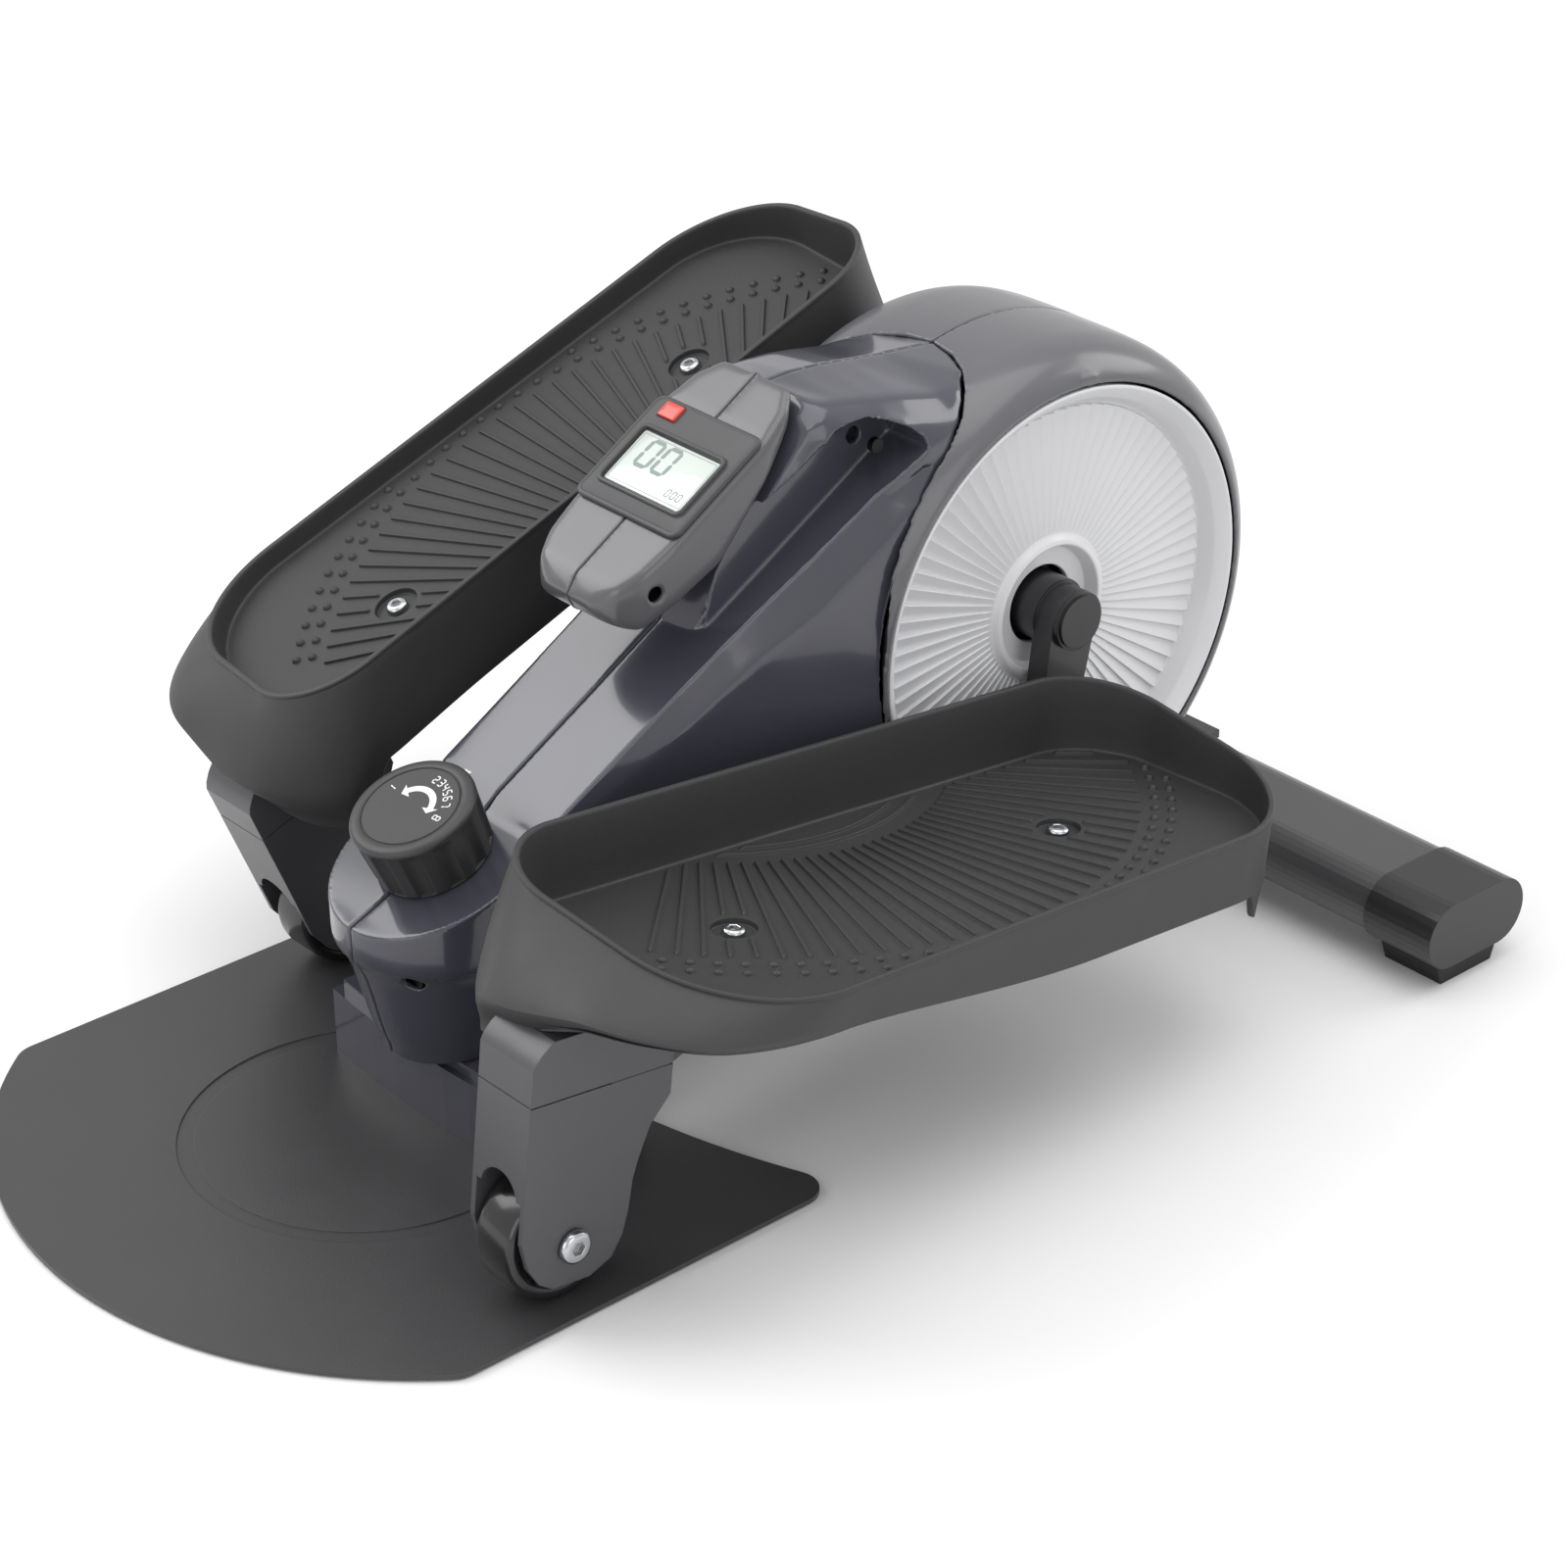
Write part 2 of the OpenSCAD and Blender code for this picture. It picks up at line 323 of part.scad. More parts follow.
module tension_knob() color([0.1,0.1,0.1]) knobf() difference() {
  rotate_extrude($fn=96) polygon([[0,0.6],[knob_r-2.5,0.6],[knob_r,24.6],[knob_r-1.6,27],[knob_r-4,28],[0,28]]);
  for (i=[0:11]) rotate([0,0,i*30+15]) translate([knob_r+2.2,0,-1]) cylinder(r=4.4,h=25,$fn=32);
  translate([0,0,27.4]) difference() { cylinder(r=21.4,h=2); translate([0,0,-1]) cylinder(r=20.8,h=4); }
  translate([0,0,-1]) cylinder(r=4,h=16);
}
module knob_shaft() color([0.75,0.75,0.75]) knobf() { translate([0,0,-22]) cylinder(r=3.98,h=36.9); translate([0,0,-20]) cylinder(r=11,h=6); translate([0,0,-7]) cylinder(r=7,h=2.6); }
module reed_sensor() color([0.08,0.08,0.08]) translate([17.05,146,134]) cube([2.2,12,10]);
module sensor_lead() color([0.04,0.04,0.04]) cord([[18.2,145.8,141],[18.2,128,160],[16,110,205],[12,80,236],[8,48,236],[8,31,235],[8,18,248],[8,16.8,251]],0.9);

// ---------- feet ----------
// local frame: X outward, Y along the tray floor, Z up, origin at the wheel axle
tc = [[106,37,35],[143,72,64],[146,302,50],[109,306,42]];
function nang(i) = let(a=tc[i], b=tc[(i+1)%4], d=sqrt(pow(b[0]-a[0],2)+pow(b[1]-a[1],2)), t=atan2(b[1]-a[1],b[0]-a[0])-acos((a[2]-b[2])/d)) t;
n01 = nang(0); n12 = nang(1); n23 = nang(2); n30 = nang(3)+360;
function lin(a, b, n) = [for (i=[1:n-1]) a + (b-a)*i/n];
function outline(o) = let(
  B = arc(143,72,64+o,n01,n12,16), C = arc(146,302,50+o,n12,n23,14), D = arc(109,306,42+o,n23,n30,14), A = arc(106,37,35+o,n30,n01+360,12))
  concat(B, lin(B[16],C[0],12), C, lin(C[14],D[0],3), D, lin(D[14],A[0],12), A, lin(A[12],B[0],3));
NO = len(outline(0));
function smooth(t) = let(c = max(0, min(1, t))) c*c*(3-2*c);
// lower edge: deep at the inner front, rising outward, with a small fin at the outer rear
function skirt(p) = let(u=p[1], x=p[0], wx = smooth((x-95)/105), zin = 68 + 26*smooth((u-12)/20), zout = 99 - 12.2*smooth((u-50)/170))
  (1-wx)*zin + wx*zout + 13*smooth((x-86)/34)*(1-smooth((u-14)/60))*(1-smooth((x-150)/45)) + 3.5*smooth((112-x)/10)*smooth((u-285)/15) - (x > 180 ? 14*max(0, 1-abs(u-321.3)/5) : 0);
function rim(p) = 124.9 + rim_up - 0.18*(p[0]-156.3);
function flare(p) = (12 + 20*smooth((p[0]-84)/46))*(1-smooth((p[1]-5)/80));
w = tray_wall;
// rings of the tray wall, inner skirt edge round to the floor
function fl(o) = let(q = outline(0), p = outline(o)) [for (i=[0:NO-1]) let(f = flare(q[i])) [p[i][0] + 0.25*f*(p[i][0]-128)/64, p[i][1] - f*max(0,(110-p[i][1])/110), skirt(q[i])]];
function ringz(o, z) = [for (p = outline(o)) [p[0], p[1], z]];
function ringr(o) = let(q = outline(0)) [for (i=[0:NO-1]) let(p = outline(o)[i]) [p[0], p[1], rim(q[i])]];
function tri(a, b) = [for (i=[0:NO-1]) let(j=(i+1)%NO) each [[a*NO+i, b*NO+i, a*NO+j], [a*NO+j, b*NO+i, b*NO+j]]];
function rring(o, z) = let(p = outline(o)) [for (i=[0:NO-1]) [p[i][0], p[i][1], z]];
function ringrim(o) = let(p = outline(o), q = outline(0)) [for (i=[0:NO-1]) [p[i][0], p[i][1], rim(q[i])]];
module tray(c) difference() {
  polyhedron(points = concat(ringz(-w-0.4, floor_v-3), fl(-w), fl(0), ringrim(0), ringrim(-w), ringz(-w-1.5, floor_v)),
    faces = concat([[for (i=[0:NO-1]) i]], tri(0,1), tri(1,2), tri(2,3), tri(3,4), tri(4,5), [[for (i=[NO-1:-1:0]) 5*NO+i]]));
  xcyl(c[0],c[1],14.5,50,170);
  for (u=[84,262]) translate([130.5,u,0]) { translate([0,0,90]) cylinder(r=3.1,h=40); translate([0,0,floor_v-1.6]) cylinder(r=8,h=10); }
}
function loc(off, a) = [bar_len*cos(bar_rise) + off[0]*cos(a) + off[1]*sin(a), bar_len*sin(bar_rise) - off[0]*sin(a) + off[1]*cos(a)];
module foot_bar(c) difference() {
  union() {
    xpoly([[13.6,65.75],[42,65.75],[70,78],[c[0],c[1]-10.5],[c[0],min(c[1]+12,103.2)],[c[0]-24,103.2],[13.6,103.2]],115,146);
    xcyl(c[0],c[1],14,72,148.5);
    xpoly([[-24.8,65.75],[16,65.75],[16,81.5],[-24.8,81.5]],114.8,145.6);
  }
  xpoly([[16,68],[41,68],[69,80.3],[300,80.3],[300,101],[16,101]],117,144);
  xpoly([[-22.3,68],[17,68],[17,79.2],[-22.3,79.2]],117.2,143.2);
  xcyl(c[0],c[1],bore_r,60,160);
  for (u=[84,262]) translate([130.5,u,95]) cylinder(r=2.6,h=20);
}
module wheel_bracket() difference() {
  union() {
    for (x=[114,143.5]) xpoly([[-25,65.7],[-25,7],[-21,-5],[-15,-13],[-8,-17],[10,-17],[20,-12],[25,-3],[27,7],[28,20],[30,28],[35,42],[44,53],[44,65.7]],x,x+2.5);
    xpoly([[-25,63.2],[44,63.2],[44,65.7],[-25,65.7]],114,146);
    xpoly([[-25,24],[-22.6,24],[-22.6,65],[-25,65]],114,146);
  }
  xcyl(0,0,4.06,100,160);
  translate([130,-30,22]) rotate([-90,0,0]) cylinder(r=11,h=12);
}
module tray_screws() for (u=[84,262]) translate([130.5,u,0]) { translate([0,0,94]) cylinder(r=2.55,h=12); translate([0,0,floor_v-1.55]) cylinder(r=6.5,h=2.2); }
module wheel_bolt() { xcyl(0,0,4,110,149); xcyl(0,0,7.2,146.4,150.2,48); xcyl(0,0,7,108.6,113.6,6); xcyl(0,0,6.4,116.9,117.8); xcyl(0,0,6.4,141.6,143.1); }
module wheel() difference() {
  translate([0,0,0]) rotate([90,0,90]) rotate_extrude($fn=96) polygon([[4.06,118],[10,118],[10,121],[20,121],[22,118.6],[wheel_r-1.2,118.6],[wheel_r,120],[wheel_r,139],[wheel_r-1.2,140.6],[22,140.6],[20,138],[10,138],[10,141.4],[4.06,141.4]]);
}
module place_rt() translate([0,wy_rt,wheel_z]) rotate([tilt_rt,0,0]) children();
module place_lt() mirror([1,0,0]) translate([0,wy_lt,wheel_z]) rotate([tilt_lt,0,0]) children();
module foot_tray_right() color([0.13,0.13,0.13]) place_rt() tray(loc(off_rt, tilt_rt));
module foot_tray_left() color([0.13,0.13,0.13]) place_lt() tray(loc(off_lt, tilt_lt));
module foot_bar_right() color([0.15,0.15,0.15]) place_rt() foot_bar(loc(off_rt, tilt_rt));
module foot_bar_left() color([0.15,0.15,0.15]) place_lt() foot_bar(loc(off_lt, tilt_lt));
module wheel_bracket_right() color([0.2,0.2,0.21]) place_rt() wheel_bracket();
module wheel_bracket_left() color([0.2,0.2,0.21]) place_lt() wheel_bracket();
module tray_screws_right() color([0.8,0.8,0.8]) place_rt() tray_screws();
module tray_screws_left() color([0.8,0.8,0.8]) place_lt() tray_screws();
module wheel_bolt_right() color([0.8,0.8,0.8]) place_rt() wheel_bolt();
module wheel_bolt_left() color([0.8,0.8,0.8]) place_lt() wheel_bolt();
module wheel_right() color([0.08,0.08,0.08]) place_rt() wheel();
module wheel_left() color([0.08,0.08,0.08]) place_lt() wheel();

base_plate();
base_pads();
foot_shroud();
main_frame();
flange_bolts();
stabilizer_tube();
stabilizer_cap_right();
stabilizer_cap_left();
rear_feet();
stabilizer_bolts();
neck_shell_right();
neck_shell_left();
dome_shell_right();
dome_shell_left();
disc_cover_right();
disc_cover_left();
monitor_pod_right();
monitor_pod_left();
monitor_case();
monitor_board();
coin_cell();
lcd_window();
reset_button();
housing_screws();
axle_bearings();
crank_axle();
crank_pulley();
crank_arms();
crank_pins();
hub_caps();
pulley_magnet();
drive_belt();
flywheel();
flywheel_axle();
flywheel_pulley();
flywheel_bearing();
idler_roller();
idler_bolt();
brake_arm();
brake_magnets();
brake_pivot();
brake_spring();
brake_cable();
tension_knob();
knob_shaft();
reed_sensor();
sensor_lead();
foot_tray_right();
foot_bar_right();
wheel_bracket_right();
tray_screws_right();
wheel_bolt_right();
wheel_right();
foot_tray_left();
foot_bar_left();
wheel_bracket_left();
tray_screws_left();
wheel_bolt_left();
wheel_left();
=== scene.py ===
import bpy, json, math
import numpy as np
from mathutils import Vector, Matrix, geometry


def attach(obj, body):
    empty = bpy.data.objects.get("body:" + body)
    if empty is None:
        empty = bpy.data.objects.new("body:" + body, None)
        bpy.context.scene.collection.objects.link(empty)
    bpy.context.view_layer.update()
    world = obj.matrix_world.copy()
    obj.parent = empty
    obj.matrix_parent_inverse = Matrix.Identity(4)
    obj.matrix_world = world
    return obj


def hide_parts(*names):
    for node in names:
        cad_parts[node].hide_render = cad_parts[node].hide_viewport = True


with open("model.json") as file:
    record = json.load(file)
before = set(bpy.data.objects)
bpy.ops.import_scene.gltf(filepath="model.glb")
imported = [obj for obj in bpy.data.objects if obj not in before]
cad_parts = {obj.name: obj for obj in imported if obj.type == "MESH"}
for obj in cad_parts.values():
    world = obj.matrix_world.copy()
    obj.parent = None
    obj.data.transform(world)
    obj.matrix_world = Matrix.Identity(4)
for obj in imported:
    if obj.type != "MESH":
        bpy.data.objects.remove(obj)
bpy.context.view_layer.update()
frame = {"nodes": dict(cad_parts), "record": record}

MM = 0.001
AX = (178.0, 150.0)
CR, PH = 78.0, math.radians(11)
PR = (AX[0] - CR * math.sin(PH), AX[1] - CR * math.cos(PH))
PL = (AX[0] + CR * math.sin(PH), AX[1] + CR * math.cos(PH))
LB, RISE = 337.0, 14.3
WYR = PR[0] - math.sqrt(LB ** 2 - (PR[1] - 30) ** 2)
WYL = PL[0] - math.sqrt(LB ** 2 - (PL[1] - 30) ** 2)
TR = math.asin((PR[1] - 30) / LB) - math.radians(RISE)
TL = math.asin((PL[1] - 30) / LB) - math.radians(RISE)

# ------------------------------------------------------------------ materials
def new_mat(name):
    m = bpy.data.materials.new(name)
    m.use_nodes = True
    nt = m.node_tree
    b = nt.nodes.get("Principled BSDF")
    return m, nt, b

def setv(b, key, val):
    for k in (key if isinstance(key, (list, tuple)) else (key,)):
        if k in b.inputs:
            b.inputs[k].default_value = val
            return

def coords(nt, scale):
    tc = nt.nodes.new("ShaderNodeTexCoord")
    mp = nt.nodes.new("ShaderNodeMapping")
    mp.inputs["Scale"].default_value = scale if isinstance(scale, (list, tuple)) else (scale,) * 3
    nt.links.new(tc.outputs["Object"], mp.inputs["Vector"])
    return mp

def noise(nt, vec, scale, detail=4.0, rough=0.6):
    n = nt.nodes.new("ShaderNodeTexNoise")
    n.inputs["Scale"].default_value = scale
    n.inputs["Detail"].default_value = detail
    n.inputs["Roughness"].default_value = rough
    nt.links.new(vec.outputs[0], n.inputs["Vector"])
    return n

def ramp(nt, fac, stops):
    r = nt.nodes.new("ShaderNodeValToRGB")
    e = r.color_ramp.elements
    while len(e) < len(stops):
        e.new(0.5)
    for i, (p, c) in enumerate(stops):
        e[i].position = p
        e[i].color = c if len(c) == 4 else (*c, 1)
    nt.links.new(fac, r.inputs["Fac"])
    return r

def maprange(nt, fac, lo, hi):
    m = nt.nodes.new("ShaderNodeMapRange")
    m.inputs["To Min"].default_value = lo
    m.inputs["To Max"].default_value = hi
    nt.links.new(fac, m.inputs["Value"])
    return m

def bump(nt, b, height, strength, dist, normal_in=None):
    n = nt.nodes.new("ShaderNodeBump")
    n.inputs["Strength"].default_value = strength
    n.inputs["Distance"].default_value = dist
    nt.links.new(height, n.inputs["Height"])
    if normal_in is not None:
        nt.links.new(normal_in, n.inputs["Normal"])
    nt.links.new(n.outputs["Normal"], b.inputs["Normal"])
    return n

def plastic(name, col, rough, coat=0.0, grain=0.0, grain_scale=1800.0, mottle=0.04, rvar=0.05, bev=0.0, metallic=0.0, spec=0.5, coat_rough=0.08, dust=0.0):
    """Moulded or painted surface: faint mottling, roughness variation, optional fine grain."""
    m, nt, b = new_mat(name)
    mp = coords(nt, 1.0)
    n1 = noise(nt, mp, 14.0, 5.0)
    dark = tuple(max(0.0, c * (1 - mottle)) for c in col)
    lite = tuple(min(1.0, c * (1 + mottle)) for c in col)
    r = ramp(nt, n1.outputs["Fac"], [(0.3, dark), (0.7, lite)])
    nt.links.new(r.outputs["Color"], b.inputs["Base Color"])
    n2 = noise(nt, mp, 60.0, 6.0)
    mr = maprange(nt, n2.outputs["Fac"], max(0.02, rough - rvar), min(1.0, rough + rvar))
    nt.links.new(mr.outputs[0], b.inputs["Roughness"])
    setv(b, "Metallic", metallic)
    setv(b, ["Specular IOR Level", "Specular"], spec)
    setv(b, ["Coat Weight", "Clearcoat"], coat)
    setv(b, ["Coat Roughness", "Clearcoat Roughness"], coat_rough)
    nin = None
    if bev > 0:
        bv = nt.nodes.new("ShaderNodeBevel")
        bv.samples = 6
        bv.inputs["Radius"].default_value = bev * MM
        nin = bv.outputs["Normal"]
    if grain > 0:
        n3 = noise(nt, mp, grain_scale, 2.0, 0.5)
        bump(nt, b, n3.outputs["Fac"], grain, 0.0003, nin)
    elif nin is not None:
        nt.links.new(nin, b.inputs["Normal"])
    return m

def metal(name, col, rough, brushed=None, bev=0.25, rvar=0.08):
    m, nt, b = new_mat(name)
    mp = coords(nt, brushed if brushed else 1.0)
    n1 = noise(nt, mp, 220.0 if not brushed else 400.0, 5.0)
    r = ramp(nt, n1.outputs["Fac"], [(0.3, tuple(c * 0.9 for c in col)), (0.7, col)])
    nt.links.new(r.outputs["Color"], b.inputs["Base Color"])
    mr = maprange(nt, n1.outputs["Fac"], max(0.05, rough - rvar), rough + rvar)
    nt.links.new(mr.outputs[0], b.inputs["Roughness"])
    setv(b, "Metallic", 1.0)
    bv = nt.nodes.new("ShaderNodeBevel")
    bv.samples = 6
    bv.inputs["Radius"].default_value = bev * MM
    bump(nt, b, n1.outputs["Fac"], 0.06, 0.0002, bv.outputs["Normal"])
    return m

M = {}
M["plate_paint"] = plastic("plate_paint", (0.040, 0.040, 0.042), 0.42, coat=0.15, grain=0.25, grain_scale=1500, bev=0.6, rvar=0.07, coat_rough=0.3)
M["bracket_paint"] = plastic("bracket_paint", (0.062, 0.062, 0.068), 0.36, coat=0.2, grain=0.18, grain_scale=1200, bev=0.7, coat_rough=0.25)
M["frame_paint"] = plastic("frame_paint", (0.018, 0.018, 0.02), 0.35, coat=0.3, grain=0.1, bev=0.8)
M["tube_paint"] = plastic("tube_paint", (0.045, 0.045, 0.047), 0.30, coat=0.35, grain=0.12, grain_scale=900, coat_rough=0.18)
M["shell_plastic"] = plastic("shell_plastic", (0.047, 0.048, 0.064), 0.20, coat=0.6, coat_rough=0.06, mottle=0.03, rvar=0.03)
M["dome_plastic"] = plastic("dome_plastic", (0.105, 0.105, 0.115), 0.30, coat=0.35, coat_rough=0.14, mottle=0.03, rvar=0.03)
M["pod_plastic"] = plastic("pod_plastic", (0.085, 0.084, 0.092), 0.30, coat=0.4, coat_rough=0.12, mottle=0.03, rvar=0.03)
M["disc_plastic"] = plastic("disc_plastic", (0.70, 0.70, 0.72), 0.32, coat=0.25, coat_rough=0.15, mottle=0.015, bev=0.4)
M["tray_plastic"] = plastic("tray_plastic", (0.030, 0.030, 0.031), 0.52, grain=0.35, grain_scale=2200, mottle=0.05, rvar=0.06, bev=0.5)
M["black_plastic"] = plastic("black_plastic", (0.014, 0.014, 0.015), 0.34, coat=0.15, grain=0.1, grain_scale=1500, bev=0.5)
M["black_rubber"] = plastic("black_rubber", (0.010, 0.010, 0.010), 0.62, grain=0.3, grain_scale=1100, bev=0.5)
M["wheel_plastic"] = plastic("wheel_plastic", (0.012, 0.012, 0.013), 0.22, coat=0.3, bev=0.5)
M["zinc_steel"] = metal("zinc_steel", (0.56, 0.57, 0.59), 0.22)
M["black_steel"] = metal("black_steel", (0.03, 0.03, 0.03), 0.4)
M["flywheel_iron"] = metal("flywheel_iron", (0.33, 0.33, 0.34), 0.4, brushed=(30, 1, 1))
M["circuit_board"] = plastic("circuit_board", (0.02, 0.12, 0.05), 0.4, coat=0.4)
M["display"] = plastic("display", (0.60, 0.66, 0.62), 0.12, coat=0.8, coat_rough=0.03, mottle=0.01)
M["red_button"] = plastic("red_button", (0.60, 0.045, 0.03), 0.28, coat=0.5, bev=0.8)
M["knob_top"] = plastic("knob_top", (0.030, 0.030, 0.031), 0.42, grain=0.15, grain_scale=1500, bev=0.3)
M["print_white"] = plastic("print_white", (0.72, 0.72, 0.72), 0.5, mottle=0.03)
M["lcd_ink"] = plastic("lcd_ink", (0.19, 0.24, 0.22), 0.3, mottle=0.02)
M["case_plastic"] = plastic("case_plastic", (0.050, 0.050, 0.053), 0.42, grain=0.12, grain_scale=1500, bev=0.6)
M["seam_dark"] = plastic("seam_dark", (0.006, 0.006, 0.007), 0.6)

rec = frame["record"]
slot_of = {s["node"]: s["material_slot"] for s in rec["subparts"]}
MAT_OVER = {"monitor_case": "case_plastic"}
for n, o in frame["nodes"].items():
    o.data.materials.clear()
    o.data.materials.append(M[MAT_OVER.get(n, slot_of.get(n, "frame_paint"))])

# ------------------------------------------------------------------ mesh helpers
def make(name, verts, faces, mat, body, node=None, angle=32, mats=None, fmat=None):
    """One mesh from millimetre vertices; mat is a key of M."""
    me = bpy.data.meshes.new(name)
    me.from_pydata([(v[0] * MM, v[1] * MM, v[2] * MM) for v in verts], [], [tuple(f) for f in faces])
    me.validate()
    import bmesh
    bm = bmesh.new()
    bm.from_mesh(me)
    bmesh.ops.remove_doubles(bm, verts=bm.verts, dist=1e-6)
    bmesh.ops.recalc_face_normals(bm, faces=bm.faces)
    bm.to_mesh(me)
    bm.free()
    o = bpy.data.objects.new(name, me)
    bpy.context.collection.objects.link(o)
    me.materials.append(M[mat])
    me.shade_smooth()
    me.set_sharp_from_angle(angle=math.radians(angle))
    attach(o, body)
    if node:
        for n in (node if isinstance(node, (list, tuple)) else (node,)):
            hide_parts(n)
    return o

def loft(rings, closed=True, cap0=False, cap1=False):
    """Quads between rings of equal length."""
    V, F = [], []
    n = len(rings[0])
    for r in rings:
        V += [tuple(p) for p in r]
    for k in range(len(rings) - 1):
        for i in range(n if closed else n - 1):
            j = (i + 1) % n
            F.append((k * n + i, k * n + j, (k + 1) * n + j, (k + 1) * n + i))
    if cap0:
        F.append(tuple(range(n - 1, -1, -1)))
    if cap1:
        F.append(tuple((len(rings) - 1) * n + i for i in range(n)))
    return V, F

def join(parts):
    V, F = [], []
    for v, f in parts:
        o = len(V)
        V += list(v)
        F += [tuple(i + o for i in q) for q in f]
    return V, F

def arc(cx, cy, r, a0, a1, n):
    return [(cx + r * math.cos(math.radians(a0 + (a1 - a0) * i / n)), cy + r * math.sin(math.radians(a0 + (a1 - a0) * i / n))) for i in range(n + 1)]

def revolve_x(prof, yc, zc, n=192, sign=1):
    """prof: (x, r) points turned about the X line through (yc, zc)."""
    rings = []
    for x, r in prof:
        rings.append([(sign * x, yc + r * math.sin(2 * math.pi * i / n), zc + r * math.cos(2 * math.pi * i / n)) for i in range(n)])
    return loft(rings)

def smooth(t):
    t = max(0.0, min(1.0, t))
    return t * t * (3 - 2 * t)

def xform(pts, f):
    return [f(p) for p in pts]

BODY = {}
for _b, _ns in (rec["behaviour"]["bodies"].items() if isinstance(rec["behaviour"]["bodies"], dict) else [(q["name"], q["nodes"]) for q in rec["behaviour"]["bodies"]]):
    for _n in _ns:
        BODY[_n] = _b

def body_of(node):
    return BODY.get(node, "chassis")

def foot_world(side):
    wy, a, s = (WYR, TR, 1) if side == "right" else (WYL, TL, -1)
    c, sn = math.cos(a), math.sin(a)
    return lambda p: (s * p[0], wy + p[1] * c - p[2] * sn, 30 + p[1] * sn + p[2] * c)

#PIECES_START#
# ------------------------------------------------------------------ rounded mouldings from the CAD solids
def relax(me, mask_fn, iters, feature=0.975, keep_iters=2):
    """Evens out the small breaks between lofted stations and leaves the real edges crisp."""
    nv = len(me.vertices)
    co = np.empty(nv * 3)
    me.vertices.foreach_get("co", co)
    co = co.reshape(-1, 3) / MM
    e = np.empty(len(me.edges) * 2, dtype=np.int64)
    me.edges.foreach_get("vertices", e)
    i, j = e.reshape(-1, 2).T
    deg = np.maximum(1, np.bincount(i, minlength=nv) + np.bincount(j, minlength=nv)).astype(float)
    def avg(a):
        return np.stack([(np.bincount(i, a[j, k], nv) + np.bincount(j, a[i, k], nv)) / deg for k in range(a.shape[1])], 1)
    for _ in range(keep_iters):
        co = 0.5 * co + 0.5 * avg(co)
    me.vertices.foreach_set("co", (co * MM).reshape(-1))
    me.update()
    nn = np.empty(nv * 3)
    me.vertices.foreach_get("normal", nn)
    nn = nn.reshape(-1, 3)
    m = nn.copy()
    for _ in range(6):
        m = 0.4 * m + 0.6 * avg(m)
    L = np.linalg.norm(m, axis=1)
    w = np.clip((L - feature) / 0.012, 0, 1)
    w = np.maximum(w, mask_fn(co, nn, 1))
    w = np.minimum(w, mask_fn(co, nn, 0))
    for _ in range(3):
        w = 0.5 * w + 0.5 * avg(w[:, None])[:, 0]
    w = np.minimum(w, mask_fn(co, nn, 0))[:, None]
    for _ in range(iters):
        co = co + 0.5 * w * (avg(co) - co)
    me.vertices.foreach_set("co", (co * MM).reshape(-1))
    me.update()

def soften(node, name, body, mat, voxel=0.8, iters=120, mask_fn=None, mirror_of=None, feature=0.975):
    """The node's own solid, remeshed finely and relaxed so its edges are moulded radii."""
    if mirror_of is not None:
        me = mirror_of.data.copy()
        me.name = name
        me.transform(Matrix.Diagonal((-1, 1, 1, 1)))
        me.flip_normals()
        o = bpy.data.objects.new(name, me)
        bpy.context.collection.objects.link(o)
    else:
        src = frame["nodes"][node]
        me = src.data.copy()
        me.name = name
        o = bpy.data.objects.new(name, me)
        bpy.context.collection.objects.link(o)
        r = o.modifiers.new("remesh", "REMESH")
        r.mode = "VOXEL"
        r.voxel_size = voxel * MM
        dg = bpy.context.evaluated_depsgraph_get()
        m2 = bpy.data.meshes.new_from_object(o.evaluated_get(dg))
        o.modifiers.clear()
        o.data = m2
        relax(m2, mask_fn, iters, feature)
        m2.materials.clear()
        m2.materials.append(M[mat])
        m2.shade_smooth()
    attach(o, body)
    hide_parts(node)
    return o

ROLL_Y = [50, 57, 70, 86, 100, 121, 148]
ROLL_X = [33.5, 35, 39.5, 45, 46.5, 46, 46.5]
ROLL_Z = [266, 270, 266, 262, 259, 256, 257]
FLAT_X = [26, 27, 30, 33, 34, 36, 36]
FLAT_Z = [270, 275.2, 272.8, 270.5, 268.2, 263.5, 263.3]
SHO_X = [35.5, 38, 42.5, 47.5, 49.6, 50, 53]
SHO_Z = [258, 262, 258, 254, 249, 248, 240]

def neck_mask(co, nn, kind):
    x, y, z = co.T
    if kind == 1:
        # the roll along the nose's shoulder is a soft radius, not an edge
        d = np.full(len(co), 99.0)
        for X, Z in ((ROLL_X, ROLL_Z), (FLAT_X, FLAT_Z), (SHO_X, SHO_Z)):
            d = np.minimum(d, np.hypot(x - np.interp(y, ROLL_Y, X), z - np.interp(y, ROLL_Y, Z)))
        w = np.clip((7.5 - d) / 3.0, 0, 1) * np.clip((y - 52) / 4, 0, 1)
        zz = 188.86 + 0.5765 * y
        w *= np.clip((z - np.interp(y, [49, 61, 68, 77, 86, 95, 101.5, 103, 110], [254, 264, 266.3, 266.3, 263.5, 259, 253, 248.3, 240]) - 1.0) / 2.5, 0, 1) * (x > 24) + (x <= 24)
        pod = np.clip((1.5 - np.abs(np.hypot(x, y + 121) - 43.0)) / 1.0, 0, 1) * 0
        return np.maximum(w, pod)
    lim = np.clip((x - 0.9) / 1.0, 0, 1)
    lim *= np.clip((np.hypot(x - 24, z - 84) - 5.0) / 1.5, 0, 1) * (y < -110) + (y >= -110)
    lim *= np.clip((np.hypot(y - 83.5, z - 252) - 5.0) / 1.5, 0, 1) * (x > 18) + (x <= 18)
    return lim

